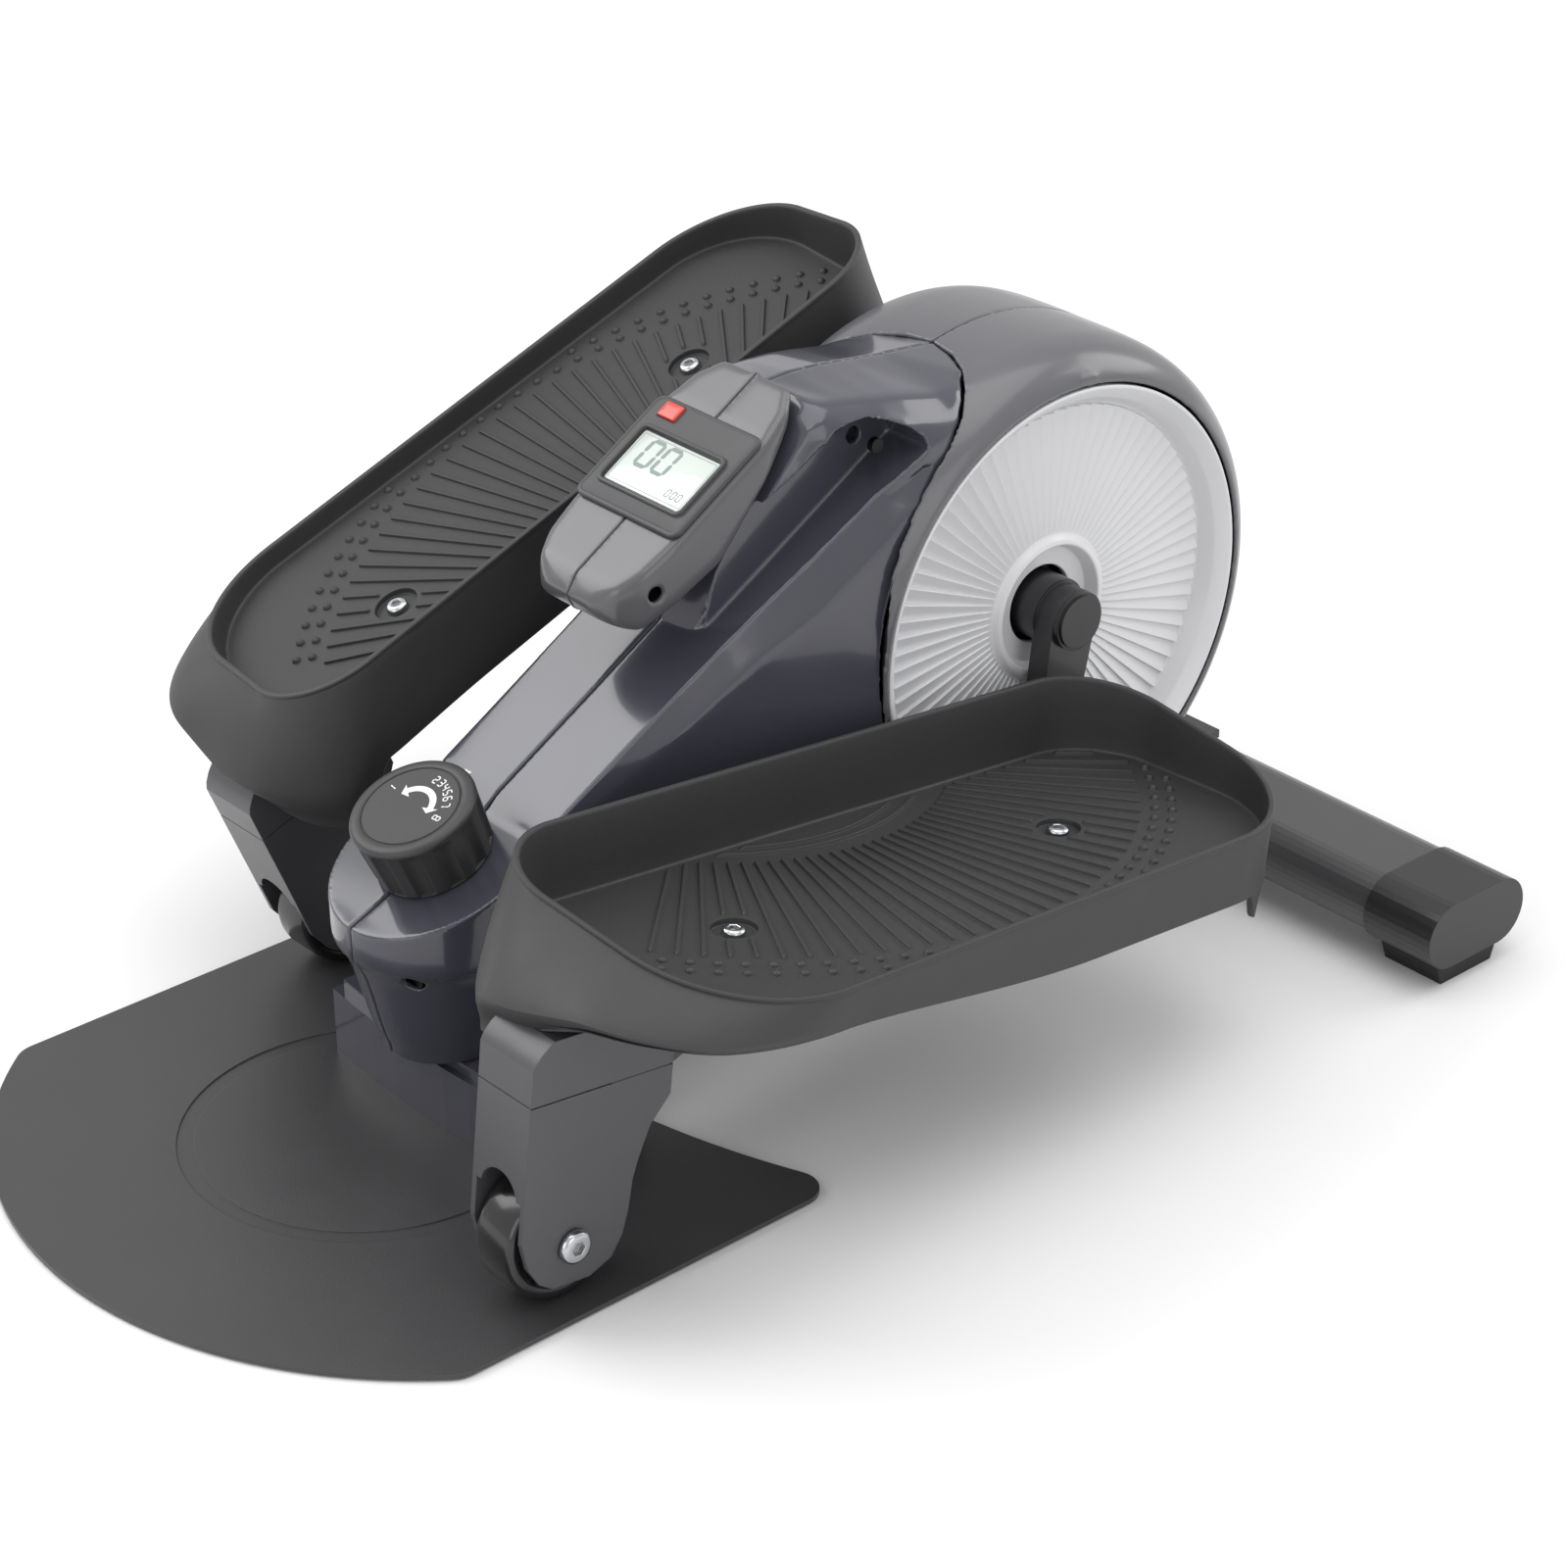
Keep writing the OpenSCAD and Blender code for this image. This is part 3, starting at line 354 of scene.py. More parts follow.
neck_r = soften("neck_shell_right", "neck_moulding_right", "chassis", "shell_plastic", 0.8, 60, neck_mask, feature=0.990)
neck_l = soften("neck_shell_left", "neck_moulding_left", "chassis", "shell_plastic", mirror_of=neck_r)

def pod_mask(co, nn, kind):
    x, y, z = co.T
    if kind == 1:
        return np.ones(len(co))
    c, s_ = math.cos(math.radians(31.5)), math.sin(math.radians(31.5))
    my, mz = (y - 3.8) * c + (z - 254.8) * s_, -(y - 3.8) * s_ + (z - 254.8) * c
    hole = np.clip((np.maximum(x - 27.2, np.abs(my + 0.3) - 27.2) - 0.8) / 2.0, 0, 1)
    hole = np.where(mz > -11, hole, 1.0)
    return np.clip((x - 0.8) / 0.8, 0, 1) * np.clip((np.hypot(y + 29, z - 218) - 4.6) / 1.2, 0, 1) * hole

pod_r = soften("monitor_pod_right", "monitor_hood_right", "chassis", "pod_plastic", 0.7, 90, pod_mask, feature=0.5)
pod_l = soften("monitor_pod_left", "monitor_hood_left", "chassis", "pod_plastic", mirror_of=pod_r)

def dome_mask(co, nn, kind):
    x, y, z = co.T
    if kind == 1:
        return np.zeros(len(co))
    return np.clip((x - 0.9) / 1.0, 0, 1) * (np.clip((np.hypot(y - 187, z - 257) - 4.8) / 1.4, 0, 1) * (z > 230) + (z <= 230))

dome_r = soften("dome_shell_right", "dome_moulding_right", "chassis", "dome_plastic", 0.8, 110, dome_mask, feature=0.965)
dome_l = soften("dome_shell_left", "dome_moulding_left", "chassis", "dome_plastic", mirror_of=dome_r)

# ------------------------------------------------------------------ screws and bolts with socket heads
def socket_head(r, h, sock, depth, n=48):
    """Rings (local x, y, z) of a domed head with a hexagon socket; z is along the screw."""
    R_ = []
    for k, z in ((0.96, 0.0), (1.0, 0.12 * h), (1.0, 0.35 * h), (0.965, 0.6 * h), (0.88, 0.82 * h), (0.74, 0.95 * h), (0.58, h)):
        R_.append([(r * k * math.cos(2 * math.pi * i / n), r * k * math.sin(2 * math.pi * i / n), z) for i in range(n)])
    def hexa(s, z):
        P = []
        for i in range(n):
            a = 2 * math.pi * i / n
            k = math.cos(math.pi / 6) / math.cos((a % (math.pi / 3)) - math.pi / 6)
            P.append((s * k * math.cos(a), s * k * math.sin(a), z))
        return P
    R_ += [hexa(sock * 1.12, h), hexa(sock * 1.0, h - 0.25), hexa(sock * 0.98, h - depth), hexa(sock * 0.2, h - depth - 0.3)]
    return R_

def shank(r, z0, z1, pitch=1.0, n=48):
    """Threaded shank as rings, with a small lead at the tip."""
    R_ = []
    z = z1
    R_.append([(r * math.cos(2 * math.pi * i / n), r * math.sin(2 * math.pi * i / n), z1) for i in range(n)])
    k = int((z1 - z0 - 1.0) / (pitch / 2))
    for q in range(1, k + 1):
        rr = r if q % 2 else r * 0.86
        R_.append([(rr * math.cos(2 * math.pi * i / n), rr * math.sin(2 * math.pi * i / n), z1 - q * pitch / 2) for i in range(n)])
    R_.append([(r * 0.7 * math.cos(2 * math.pi * i / n), r * 0.7 * math.sin(2 * math.pi * i / n), z0) for i in range(n)])
    return R_

def hexnut(r, z0, z1, hole, n=48):
    def ring(s, z, hx):
        P = []
        for i in range(n):
            a = 2 * math.pi * i / n
            k = (math.cos(math.pi / 6) / math.cos((a % (math.pi / 3)) - math.pi / 6)) if hx else 1.0
            P.append((s * k * math.cos(a), s * k * math.sin(a), z))
        return P
    return [ring(hole, z0, False), ring(r * 0.84, z0, False), ring(r * 0.985, z0 + 0.45, True), ring(r, z0 + 0.7, True), ring(r, z1 - 0.7, True), ring(r * 0.985, z1 - 0.45, True), ring(r * 0.84, z1, False), ring(hole, z1, False)]

def solid(rings):
    return loft(rings, cap0=True, cap1=True)

for side in ("right", "left"):
    F = foot_world(side)
    parts = []
    for u in (84, 262):
        rings = list(reversed(shank(2.55, 94.0, 103.95, 1.4))) + [[(x, y, z + 103.95) for x, y, z in q] for q in socket_head(4.9, 2.9, 2.4, 1.9)]
        V, Fc = solid(rings)
        parts.append(([F((130.5 + x, u + y, z)) for x, y, z in V], Fc))
    V, Fc = join(parts)
    make("tray_screw_set_" + side, V, Fc, "zinc_steel", side + "_foot", node="tray_screws_" + side, angle=36)
    ax = lambda p, F=F: F((p[2], p[0], p[1]))
    parts = []
    V, Fc = solid([[(4.0 * math.cos(2 * math.pi * i / 48), 4.0 * math.sin(2 * math.pi * i / 48), z) for i in range(48)] for z in (108.6, 110.0, 146.4)] + [[(x, y, z + 146.4) for x, y, z in q] for q in socket_head(7.2, 3.8, 3.0, 2.6)])
    parts.append((V, Fc))
    parts.append(loft(hexnut(7.0, 108.7, 113.6, 4.0)))
    for z0, z1 in ((116.9, 117.8), (141.6, 143.1)):
        parts.append(loft([[(rr * math.cos(2 * math.pi * i / 48), rr * math.sin(2 * math.pi * i / 48), z) for i in range(48)] for rr, z in ((4.0, z0), (6.2, z0), (6.4, z0 + 0.2), (6.4, z1 - 0.2), (6.2, z1), (4.0, z1))]))
    V, Fc = join(parts)
    make("wheel_bolt_set_" + side, [ax(p) for p in V], Fc, "zinc_steel", body_of("wheel_bolt_" + side), node="wheel_bolt_" + side, angle=36)
    # wheel: rounded tread, dished web with six ribs
    s = 1 if side == "right" else -1
    prof = [(118.0, 4.08), (118.0, 9.6), (118.4, 10.0), (120.6, 10.0), (121.0, 10.4), (121.0, 18.6), (120.4, 20.2), (119.0, 21.4), (118.6, 22.2), (118.6, 24.4), (118.8, 25.2), (119.3, 25.9), (120.3, 26.4), (121.6, 26.7), (137.6, 26.7), (138.9, 26.4), (139.9, 25.9), (140.4, 25.2), (140.6, 24.4), (140.6, 22.2), (140.2, 21.4), (138.8, 20.2), (138.2, 18.6), (138.2, 10.4), (138.6, 10.0), (141.0, 10.0), (141.4, 9.6), (141.4, 4.08)]
    parts = [loft([[(r * math.cos(2 * math.pi * i / 96), r * math.sin(2 * math.pi * i / 96), x) for i in range(96)] for x, r in prof + [prof[0]]])]
    for k in range(6):
        a = math.pi * k / 3
        for xa, xb in ((119.2, 121.2), (138.0, 140.0)):
            q = []
            for rr, hw in ((9.8, 1.3), (20.4, 1.0)):
                for x in (xa, xb):
                    q.append([(rr * math.cos(a) + t * hw * -math.sin(a), rr * math.sin(a) + t * hw * math.cos(a), x) for t in (-1, 1)])
            V = q[0] + q[1] + q[2] + q[3]
            parts.append((V, [(0, 1, 3, 2), (4, 6, 7, 5), (0, 2, 6, 4), (1, 5, 7, 3), (0, 4, 5, 1), (2, 3, 7, 6)]))
    V, Fc = join(parts)
    make("wheel_moulding_" + side, [ax(p) for p in V], Fc, "wheel_plastic", body_of("wheel_" + side), node="wheel_" + side, angle=36)

# ------------------------------------------------------------------ foot trays
TC = [(106, 37, 35), (143, 72, 64), (146, 302, 50), (109, 306, 42)]

def nang(i):
    a, b = TC[i], TC[(i + 1) % 4]
    d = math.hypot(b[0] - a[0], b[1] - a[1])
    return math.degrees(math.atan2(b[1] - a[1], b[0] - a[0]) - math.acos((a[2] - b[2]) / d))

N01, N12, N23, N30 = nang(0), nang(1), nang(2), nang(3) + 360

def lin(a, b, n):
    return [(a[0] + (b[0] - a[0]) * i / n, a[1] + (b[1] - a[1]) * i / n) for i in range(1, n)]

def outline(o):
    B = arc(143, 72, 64 + o, N01, N12, 40)
    C = arc(146, 302, 50 + o, N12, N23, 36)
    D = arc(109, 306, 42 + o, N23, N30, 36)
    A = arc(106, 37, 35 + o, N30, N01 + 360, 32)
    return B + lin(B[-1], C[0], 34) + C + lin(C[-1], D[0], 6) + D + lin(D[-1], A[0], 34) + A + lin(A[-1], B[0], 6)

OUT0 = outline(0)
FLOOR = 106.5
WALL = 3.0

def skirt_z(x, u):
    wx = smooth((x - 95) / 105)
    b = (1 - wx) * (68 + 26 * smooth((u - 12) / 20)) + wx * (99 - 12.2 * smooth((u - 50) / 170))
    b += 13 * smooth((x - 86) / 34) * (1 - smooth((u - 14) / 60)) * (1 - smooth((x - 150) / 45))
    return b + 3.5 * smooth((112 - x) / 10) * smooth((u - 285) / 15) - (14 * max(0.0, 1 - abs(u - 321.3) / 5) if x > 180 else 0.0)

def rim_z(x):
    return 124.9 - 0.18 * (x - 156.3)

def tray_ring(o, zf, fl=0.0):
    res = []
    for p, q in zip(outline(o), OUT0):
        f = (15 + 18 * smooth((q[0] - 84) / 46)) * (1 - smooth((q[1] - 5) / 80)) * fl
        res.append((p[0] + 0.35 * f * (p[0] - 128) / 64, p[1] - f * max(0.0, (110 - p[1]) / 110), zf(q)))
    return res

def inside(pt, poly):
    x, y = pt
    c = False
    j = len(poly) - 1
    for i in range(len(poly)):
        if (poly[i][1] > y) != (poly[j][1] > y) and x < (poly[j][0] - poly[i][0]) * (y - poly[i][1]) / (poly[j][1] - poly[i][1]) + poly[i][0]:
            c = not c
        j = i
    return c

def bar(p0, p1, w, h, z0, sink=0.25, tail=1.2, segs=1):
    """Low rounded bead from p0 to p1 on the floor."""
    dx, dy = p1[0] - p0[0], p1[1] - p0[1]
    L = math.hypot(dx, dy)
    dx, dy = dx / L, dy / L
    nx, ny = -dy, dx
    prof = [(-1, -sink), (-0.95, 0.6), (-0.72, 0.94), (0, 1.0), (0.72, 0.94), (0.95, 0.6), (1, -sink)]
    st = [(0.0, 0.05, 0.3), (0.35 * tail, 0.6, 0.75), (tail, 1.0, 1.0), (L - tail, 1.0, 1.0), (L - 0.35 * tail, 0.6, 0.75), (L, 0.05, 0.3)]
    rings = []
    for s, kh, kw in st:
        rings.append([(p0[0] + dx * s + nx * a * w / 2 * kw, p0[1] + dy * s + ny * a * w / 2 * kw, z0 + (b * h * kh if b > 0 else b)) for a, b in prof])
    return loft(rings, closed=False)

def dot(cx, cy, r, h, z0, n=14):
    rings = []
    for t in (0.0, 0.28, 0.55, 0.8, 0.95):
        rr = r * math.cos(t * math.pi / 2)
        zz = z0 - 0.2 + (h + 0.2) * math.sin(t * math.pi / 2)
        rings.append([(cx + rr * math.cos(2 * math.pi * i / n), cy + rr * math.sin(2 * math.pi * i / n), zz) for i in range(n)])
    return loft(rings, cap1=True)

def arc_bead(cx, cy, r, a0, a1, w, h, z0, n=60):
    prof = [(-1, -0.25), (-0.94, 0.55), (-0.66, 0.93), (0, 1.0), (0.66, 0.93), (0.94, 0.55), (1, -0.25)]
    rings = []
    for i in range(n + 1):
        a = math.radians(a0 + (a1 - a0) * i / n)
        k = min(1.0, min(i, n - i) / 2.0 + 0.1)
        rings.append([(cx + (r + s * w / 2) * math.cos(a), cy + (r + s * w / 2) * math.sin(a), z0 + (t * h * k if t > 0 else t)) for s, t in prof])
    return loft(rings, closed=False)

def tray(side):
    body = side + "_foot"
    F = foot_world(side)
    rings = [
        tray_ring(-WALL - 0.2, lambda q: FLOOR - 3.2),
        tray_ring(-WALL, lambda q: 0.65 * (FLOOR - 3.2) + 0.35 * skirt_z(*q), 0.72),
        tray_ring(-WALL, lambda q: 0.3 * (FLOOR - 3.2) + 0.7 * skirt_z(*q), 0.84),
        tray_ring(-WALL, lambda q: skirt_z(*q) + 0.5, 0.66),
        tray_ring(-WALL + 0.5, lambda q: skirt_z(*q) + 0.05, 0.66),
        tray_ring(-0.55, lambda q: skirt_z(*q) + 0.05, 0.66),
        tray_ring(-0.08, lambda q: skirt_z(*q) + 0.6, 0.67),
    ]
    NS_ = 16
    for k in range(NS_):
        s = (k + 0.35) / NS_
        rings.append(tray_ring(-0.04 - 0.35 * math.sin(math.pi * s), lambda q, s=s: skirt_z(*q) + 0.6 + (rim_z(q[0]) - 2.0 - skirt_z(*q) - 0.6) * s, (1 - s ** 1.8) * (0.66 + 0.34 * smooth(s / 0.3))))
    # thin raised lip, rolled over and down to the floor fillet
    for o, dz in ((-0.25, -1.9), (0.0, -1.4), (0.0, -0.75), (-0.25, -0.25), (-0.8, 0.0), (-1.7, 0.0), (-2.35, -0.2), (-2.7, -0.7), (-2.85, -1.5)):
        rings.append(tray_ring(o, lambda q, dz=dz: rim_z(q[0]) + dz))
    for t in (0.25, 0.5, 0.75):
        rings.append(tray_ring(-2.9 - 0.9 * t, lambda q, t=t: rim_z(q[0]) - 1.5 + (FLOOR + 1.6 - rim_z(q[0]) + 1.5) * t))
    for o, z in ((-3.8, 1.3), (-3.9, 0.8), (-4.1, 0.4), (-4.45, 0.12), (-4.8, 0.0), (-6.2, 0.0)):
        rings.append(tray_ring(o, lambda q, z=z: FLOOR + z))
    V, Fc = loft(rings)
    nr = len(OUT0)
    # underside
    Fc.append(tuple(range(nr - 1, -1, -1)))
    # floor with oval screw wells
    outer = [(p[0], p[1]) for p in outline(-6.2)]
    holes = []
    for u in (84, 262):
        b0 = u
        loop = [(130.5 + 8.8 * math.cos(2 * math.pi * i / 40), u + 10.2 * math.sin(2 * math.pi * i / 40)) for i in range(40)]
        holes.append((b0, loop))
    ring0 = (len(rings) - 1) * nr
    base = len(V)
    wells = []
    for b0, loop in holes:
        wells.append([len(V) + i for i in range(40)])
        V += [(p[0], p[1], FLOOR) for p in loop]
    area2 = sum(outer[i][0] * outer[(i + 1) % nr][1] - outer[(i + 1) % nr][0] * outer[i][1] for i in range(nr))
    order = list(range(nr)) if area2 > 0 else list(range(nr - 1, -1, -1))
    def cross(u, right):
        cand = [k for k in range(nr) if (outer[order[k]][0] > 130.5) == right]
        return min(cand, key=lambda k: abs(outer[order[k]][1] - u))
    def walk(k0, k1):
        out = [k0]
        while out[-1] != k1:
            out.append((out[-1] + 1) % nr)
        return [ring0 + order[k] for k in out]
    r1, l1, r2, l2 = cross(84, True), cross(84, False), cross(262, True), cross(262, False)
    w1, w2 = wells
    low = lambda w: [w[0]] + [w[i] for i in range(39, 19, -1)]
    up = lambda w: [w[i] for i in range(20, -1, -1)]
    Fc.append(tuple(walk(l1, r1) + low(w1)))
    Fc.append(tuple(walk(r1, r2) + low(w2) + walk(l2, l1) + up(w1)))
    Fc.append(tuple(walk(r2, l2) + up(w2)))
    parts = [(V, Fc)]
    for u in (84, 262):
        rr = []
        for kx, ku, z in ((8.8, 10.2, 0.0), (8.75, 10.15, -0.15), (8.6, 10.0, -1.2), (8.45, 9.85, -2.35), (8.1, 9.5, -2.6), (2.6, 2.6, -2.6), (2.6, 2.6, -3.15)):
            rr.append([(130.5 + kx * math.cos(2 * math.pi * i / 40), u + ku * math.sin(2 * math.pi * i / 40), FLOOR + z) for i in range(40)])
        parts.append(loft(rr))
    # fan of ribs, two staggered rows of studs past their ends, two arcs inside them
    lim = [(p[0], p[1]) for p in outline(-6.8)]
    lim2 = [(p[0], p[1]) for p in outline(-8.0)]
    cx, cy = -2.0, 177.0
    clear = lambda x, u, m: all(((x - 130.5) / (8.8 + m)) ** 2 + ((u - v) / (10.2 + m)) ** 2 > 1 for v in (84, 262))
    for k in range(36):
        a = math.radians(-45.66 + 3.13 * k)
        ca, sa = math.cos(a), math.sin(a)
        h = 11.6 * ca - 0.6 * sa
        r0 = -h + math.sqrt(h * h + 113.7 ** 2 - 134.9)
        run = []
        for j in range(400):
            r = r0 + 0.5 * j
            good = r <= 189.3 and inside((cx + r * ca, cy + r * sa), lim) and clear(cx + r * ca, cy + r * sa, 1.6)
            if good:
                run.append(r)
            if not good or j == 399:
                if len(run) > 9:
                    parts.append(bar((cx + run[0] * ca, cy + run[0] * sa), (cx + run[-1] * ca, cy + run[-1] * sa), 1.9, 1.35, FLOOR))
                run = []
        a += math.radians(1.565)
        for r in (194.7, 201.9):
            p = (cx + r * math.cos(a), cy + r * math.sin(a))
            if inside(p, lim2):
                parts.append(dot(p[0], p[1], 2.05, 1.9, FLOOR))
    for ax_, ay_, r, w_, h_ in ((-13.2, 174.8, 104.8, 1.9, 1.2), (-12.0, 173.6, 97.4, 1.9, 1.2)):
        aa = [a for a in [-60 + 0.5 * j for j in range(241)] if inside((ax_ + r * math.cos(math.radians(a)), ay_ + r * math.sin(math.radians(a))), lim)]
        if len(aa) > 10:
            parts.append(arc_bead(ax_, ay_, r, aa[0], aa[-1], w_, h_, FLOOR, 90))
    V, Fc = join(parts)
    V = [F(p) for p in V]
    return make("foot_tray_moulding_" + side, V, Fc, "tray_plastic", body, node="foot_tray_" + side, angle=34)

tray("right")
tray("left")

# ------------------------------------------------------------------ painted sleeve between wheel bracket and tray
def cladding(side):
    F = foot_world(side)
    rings = []
    for z, y0, d in ((65.95, -24.95, 0.5), (66.3, -24.95, 0.0), (81.5, -24.95, 0.0), (84.5, -23.6, 0.0), (88.0, -20.6, 0.0), (92.0, -15.5, 0.0)):
        rings.append([F(p) for p in ((113.9 + d, y0 + d, z), (146.1 - d, y0 + d, z), (146.1 - d, 43.9 - d, z), (113.9 + d, 43.9 - d, z))])
    V, Fc = loft(rings, cap0=True, cap1=True)
    make("bracket_cladding_" + side, V, Fc, "bracket_paint", side + "_foot", angle=20)

cladding("right")
cladding("left")

# ------------------------------------------------------------------ pleated disc covers
def disc(side):
    s = 1 if side == "right" else -1
    prof = [(37.6, 17.5), (37.6, 17.9), (40.0, 17.9), (40.4, 18.3), (40.4, 25.6), (40.7, 26.6), (41.6, 27.2), (46.2, 28.4), (46.9, 28.8), (47.2, 29.4), (47.2, 30.6), (46.9, 31.4), (46.0, 32.2), (45.0, 33.0), (44.6, 34.0)]
    prof2 = [(44.6, 92.2), (45.2, 93.3), (45.9, 93.9), (48.6, 95.2), (51.3, 96.5), (52.0, 96.9), (52.5, 97.3), (54.6, 99.6), (56.6, 101.8), (57.05, 102.4), (57.2, 102.9), (57.15, 103.4), (56.9, 103.7), (56.4, 103.8), (54.6, 103.8), (50.4, 98.9), (42.8, 95.2), (42.6, 60.0), (42.6, 33.0), (37.6, 30.0), (37.6, 17.5)]
    parts = [revolve_x(prof, AX[0], AX[1], 180, s), revolve_x(prof2, AX[0], AX[1], 240, s)]
    N = 76
    rad = [34.0, 36.0, 46.0, 58.0, 70.0, 82.0, 89.6, 91.8]
    V, Fc = [], []
    for i in range(N):
        a0, a1 = 2 * math.pi * i / N, 2 * math.pi * (i + 1) / N
        b = len(V)
        for r in rad:
            h = 0.6 + 1.75 * (r - 34) / 60
            if r == 34.0:
                h = 0.05
            st = [(a0 + (a1 - a0) * 0.0, 0.0), (a0 + (a1 - a0) * 0.5, h * 0.5), (a0 + (a1 - a0) * 0.86, h * 0.9), (a0 + (a1 - a0) * 0.94, h), (a1 - 0.25 / r, h * 0.93), (a1, h * 0.1)]
            for aa, hh in st:
                V.append((s * (44.6 + hh), AX[0] + r * math.sin(aa), AX[1] + r * math.cos(aa)))
        m = 6
        for k in range(len(rad) - 1):
            for j in range(m - 1):
                Fc.append((b + k * m + j, b + k * m + j + 1, b + (k + 1) * m + j + 1, b + (k + 1) * m + j))
        # step down to the next pleat, and the pleat's outer end
        e = len(V)
        for r in rad:
            V.append((s * 44.6, AX[0] + r * math.sin(a1), AX[1] + r * math.cos(a1)))
        for k in range(len(rad) - 1):
            Fc.append((b + k * m + 5, e + k, e + k + 1, b + (k + 1) * m + 5))
        g = len(V)
        rr = rad[-1] + 0.5
        for j in range(m):
            aa = (a0, a0 + (a1 - a0) * 0.5, a0 + (a1 - a0) * 0.86, a0 + (a1 - a0) * 0.94, a1 - 0.25 / 93, a1)[j]
            V.append((s * 44.5, AX[0] + rr * math.sin(aa), AX[1] + rr * math.cos(aa)))
        kk = (len(rad) - 1) * m
        for j in range(m - 1):
            Fc.append((b + kk + j, b + kk + j + 1, g + j + 1, g + j))
    # floor ring behind the pleats, so no gap shows
    parts.append((V, Fc))
    parts.append(revolve_x([(44.5, 33.5), (44.5, 93.2)], AX[0], AX[1], 180, s))
    V, Fc = join(parts)
    return make("disc_moulding_" + side, V, Fc, "disc_plastic", "chassis", node="disc_cover_" + side, angle=24)

disc("right")
disc("left")

# ------------------------------------------------------------------ tension knob
KC, KT = (-121.3, 121.4), math.radians(21.7)

def knobw(p):
    c, s_ = math.cos(KT), math.sin(KT)
    return (p[0], KC[0] + p[1] * c - p[2] * s_, KC[1] + p[1] * s_ + p[2] * c)

def knob():
    n = 288
    def rad(base, a, depth):
        # scalloped grip: twelve flutes with rounded lands between
        ph = ((math.degrees(a) - 15) % 30) / 30.0
        d = min(ph, 1 - ph) * 30 * math.pi / 180 * 25.0
        w_ = 3.9
        f = max(0.0, 1 - (d / w_) ** 2)
        return base - depth * (f ** 0.75)
    lv = [(0.6, 24.6, 0.0), (0.9, 25.0, 1.9), (2.0, 25.15, 2.1), (8.0, 25.6, 2.2), (14.0, 26.0, 2.2), (20.0, 26.4, 2.1), (22.6, 26.6, 1.7), (23.6, 26.72, 0.9), (24.2, 26.8, 0.25),
          (24.8, 26.85, 0.0), (25.6, 26.8, 0.0), (26.5, 26.45, 0.0), (27.1, 25.9, 0.0), (27.5, 25.0, 0.0), (27.7, 23.8, 0.0)]
    rings = []
    for z, r, dep in lv:
        rings.append([(rad(r, 2 * math.pi * i / n, dep) * math.cos(2 * math.pi * i / n), rad(r, 2 * math.pi * i / n, dep) * math.sin(2 * math.pi * i / n), z) for i in range(n)])
    for r, z in ((21.8, 27.75), (21.5, 27.6), (21.35, 27.25), (21.1, 27.15), (20.85, 27.25), (20.7, 27.6), (20.4, 27.78), (10.0, 27.8), (0.4, 27.8)):
        rings.append([(r * math.cos(2 * math.pi * i / n), r * math.sin(2 * math.pi * i / n), z) for i in range(n)])
    V, Fc = loft(rings, cap0=True, cap1=True)
    V = [knobw(p) for p in V]
    make("knob_moulding", V, Fc, "knob_top", "knob", node="tension_knob", angle=30)
    # printed scale: sweeping double arrow and plain numbers
    parts = []
    z = 27.86
    def strip(r0, r1, a0, a1, nn):
        rr = []
        for i in range(nn + 1):
            a = math.radians(a0 + (a1 - a0) * i / nn)
            rr.append([(r0 * math.cos(a), r0 * math.sin(a), z), (r1 * math.cos(a), r1 * math.sin(a), z)])
        return loft(rr, closed=False)
    parts.append(strip(8.0, 10.9, 20, 148, 40))
    for a, d in ((20, -1), (148, 1)):
        t = math.radians(a)
        tip = math.radians(a + d * 17)
        parts.append(([(5.6 * math.cos(t), 5.6 * math.sin(t), z), (13.2 * math.cos(t), 13.2 * math.sin(t), z), (9.4 * math.cos(tip), 9.4 * math.sin(tip), z)], [(0, 1, 2)]))
    V, Fc = join(parts)
    make("knob_print", [knobw(p) for p in V], Fc, "print_white", "knob")
    for k, deg in enumerate((172, 96, 83, 70, 57, 44, 31, 4)):
        a = math.radians(deg)
        numeral(str(k + 1), 3.6, (15.6 * math.cos(a), 15.6 * math.sin(a)), a - math.pi / 2, z, knobw, "knob", "numeral_%d" % (k + 1))

SEG = {"0": "abcdef", "1": "bc", "2": "abged", "3": "abgcd", "4": "fgbc", "5": "afgcd", "6": "afgedc", "7": "abc", "8": "abcdefg", "9": "abcdfg"}

def numeral(ch, h, at, rot, z, F, body, name, mat="print_white", wk=0.16, slant=0.0):
    """One plain figure drawn as seven rounded bars."""
    w = h * 0.55
    t = h * wk
    lines = {"a": ((0, h / 2), (w, h / 2)), "b": ((w, h / 2), (w, 0)), "c": ((w, 0), (w, -h / 2)), "d": ((0, -h / 2), (w, -h / 2)), "e": ((0, 0), (0, -h / 2)), "f": ((0, h / 2), (0, 0)), "g": ((0, 0), (w, 0))}
    parts = []
    for sgm in SEG[ch]:
        (x0, y0), (x1, y1) = lines[sgm]
        L = math.hypot(x1 - x0, y1 - y0)
        dx, dy = (x1 - x0) / L, (y1 - y0) / L
        g = t * 0.55
        x0, y0, x1, y1 = x0 + dx * g, y0 + dy * g, x1 - dx * g, y1 - dy * g
        nx, ny = -dy * t / 2, dx * t / 2
        pts = [(x0 - dx * t / 2, y0 - dy * t / 2), (x0 + nx, y0 + ny), (x1 + nx, y1 + ny), (x1 + dx * t / 2, y1 + dy * t / 2), (x1 - nx, y1 - ny), (x0 - nx, y0 - ny)]
        V = []
        for x, y in pts:
            x = x - w / 2 + slant * y
            V.append(F((at[0] + x * math.cos(rot) - y * math.sin(rot), at[1] + x * math.sin(rot) + y * math.cos(rot), z)))
        parts.append((V, [(0, 1, 2, 3, 4, 5)]))
    V, Fc = join(parts)
    return make(name, V, Fc, mat, body)

knob()

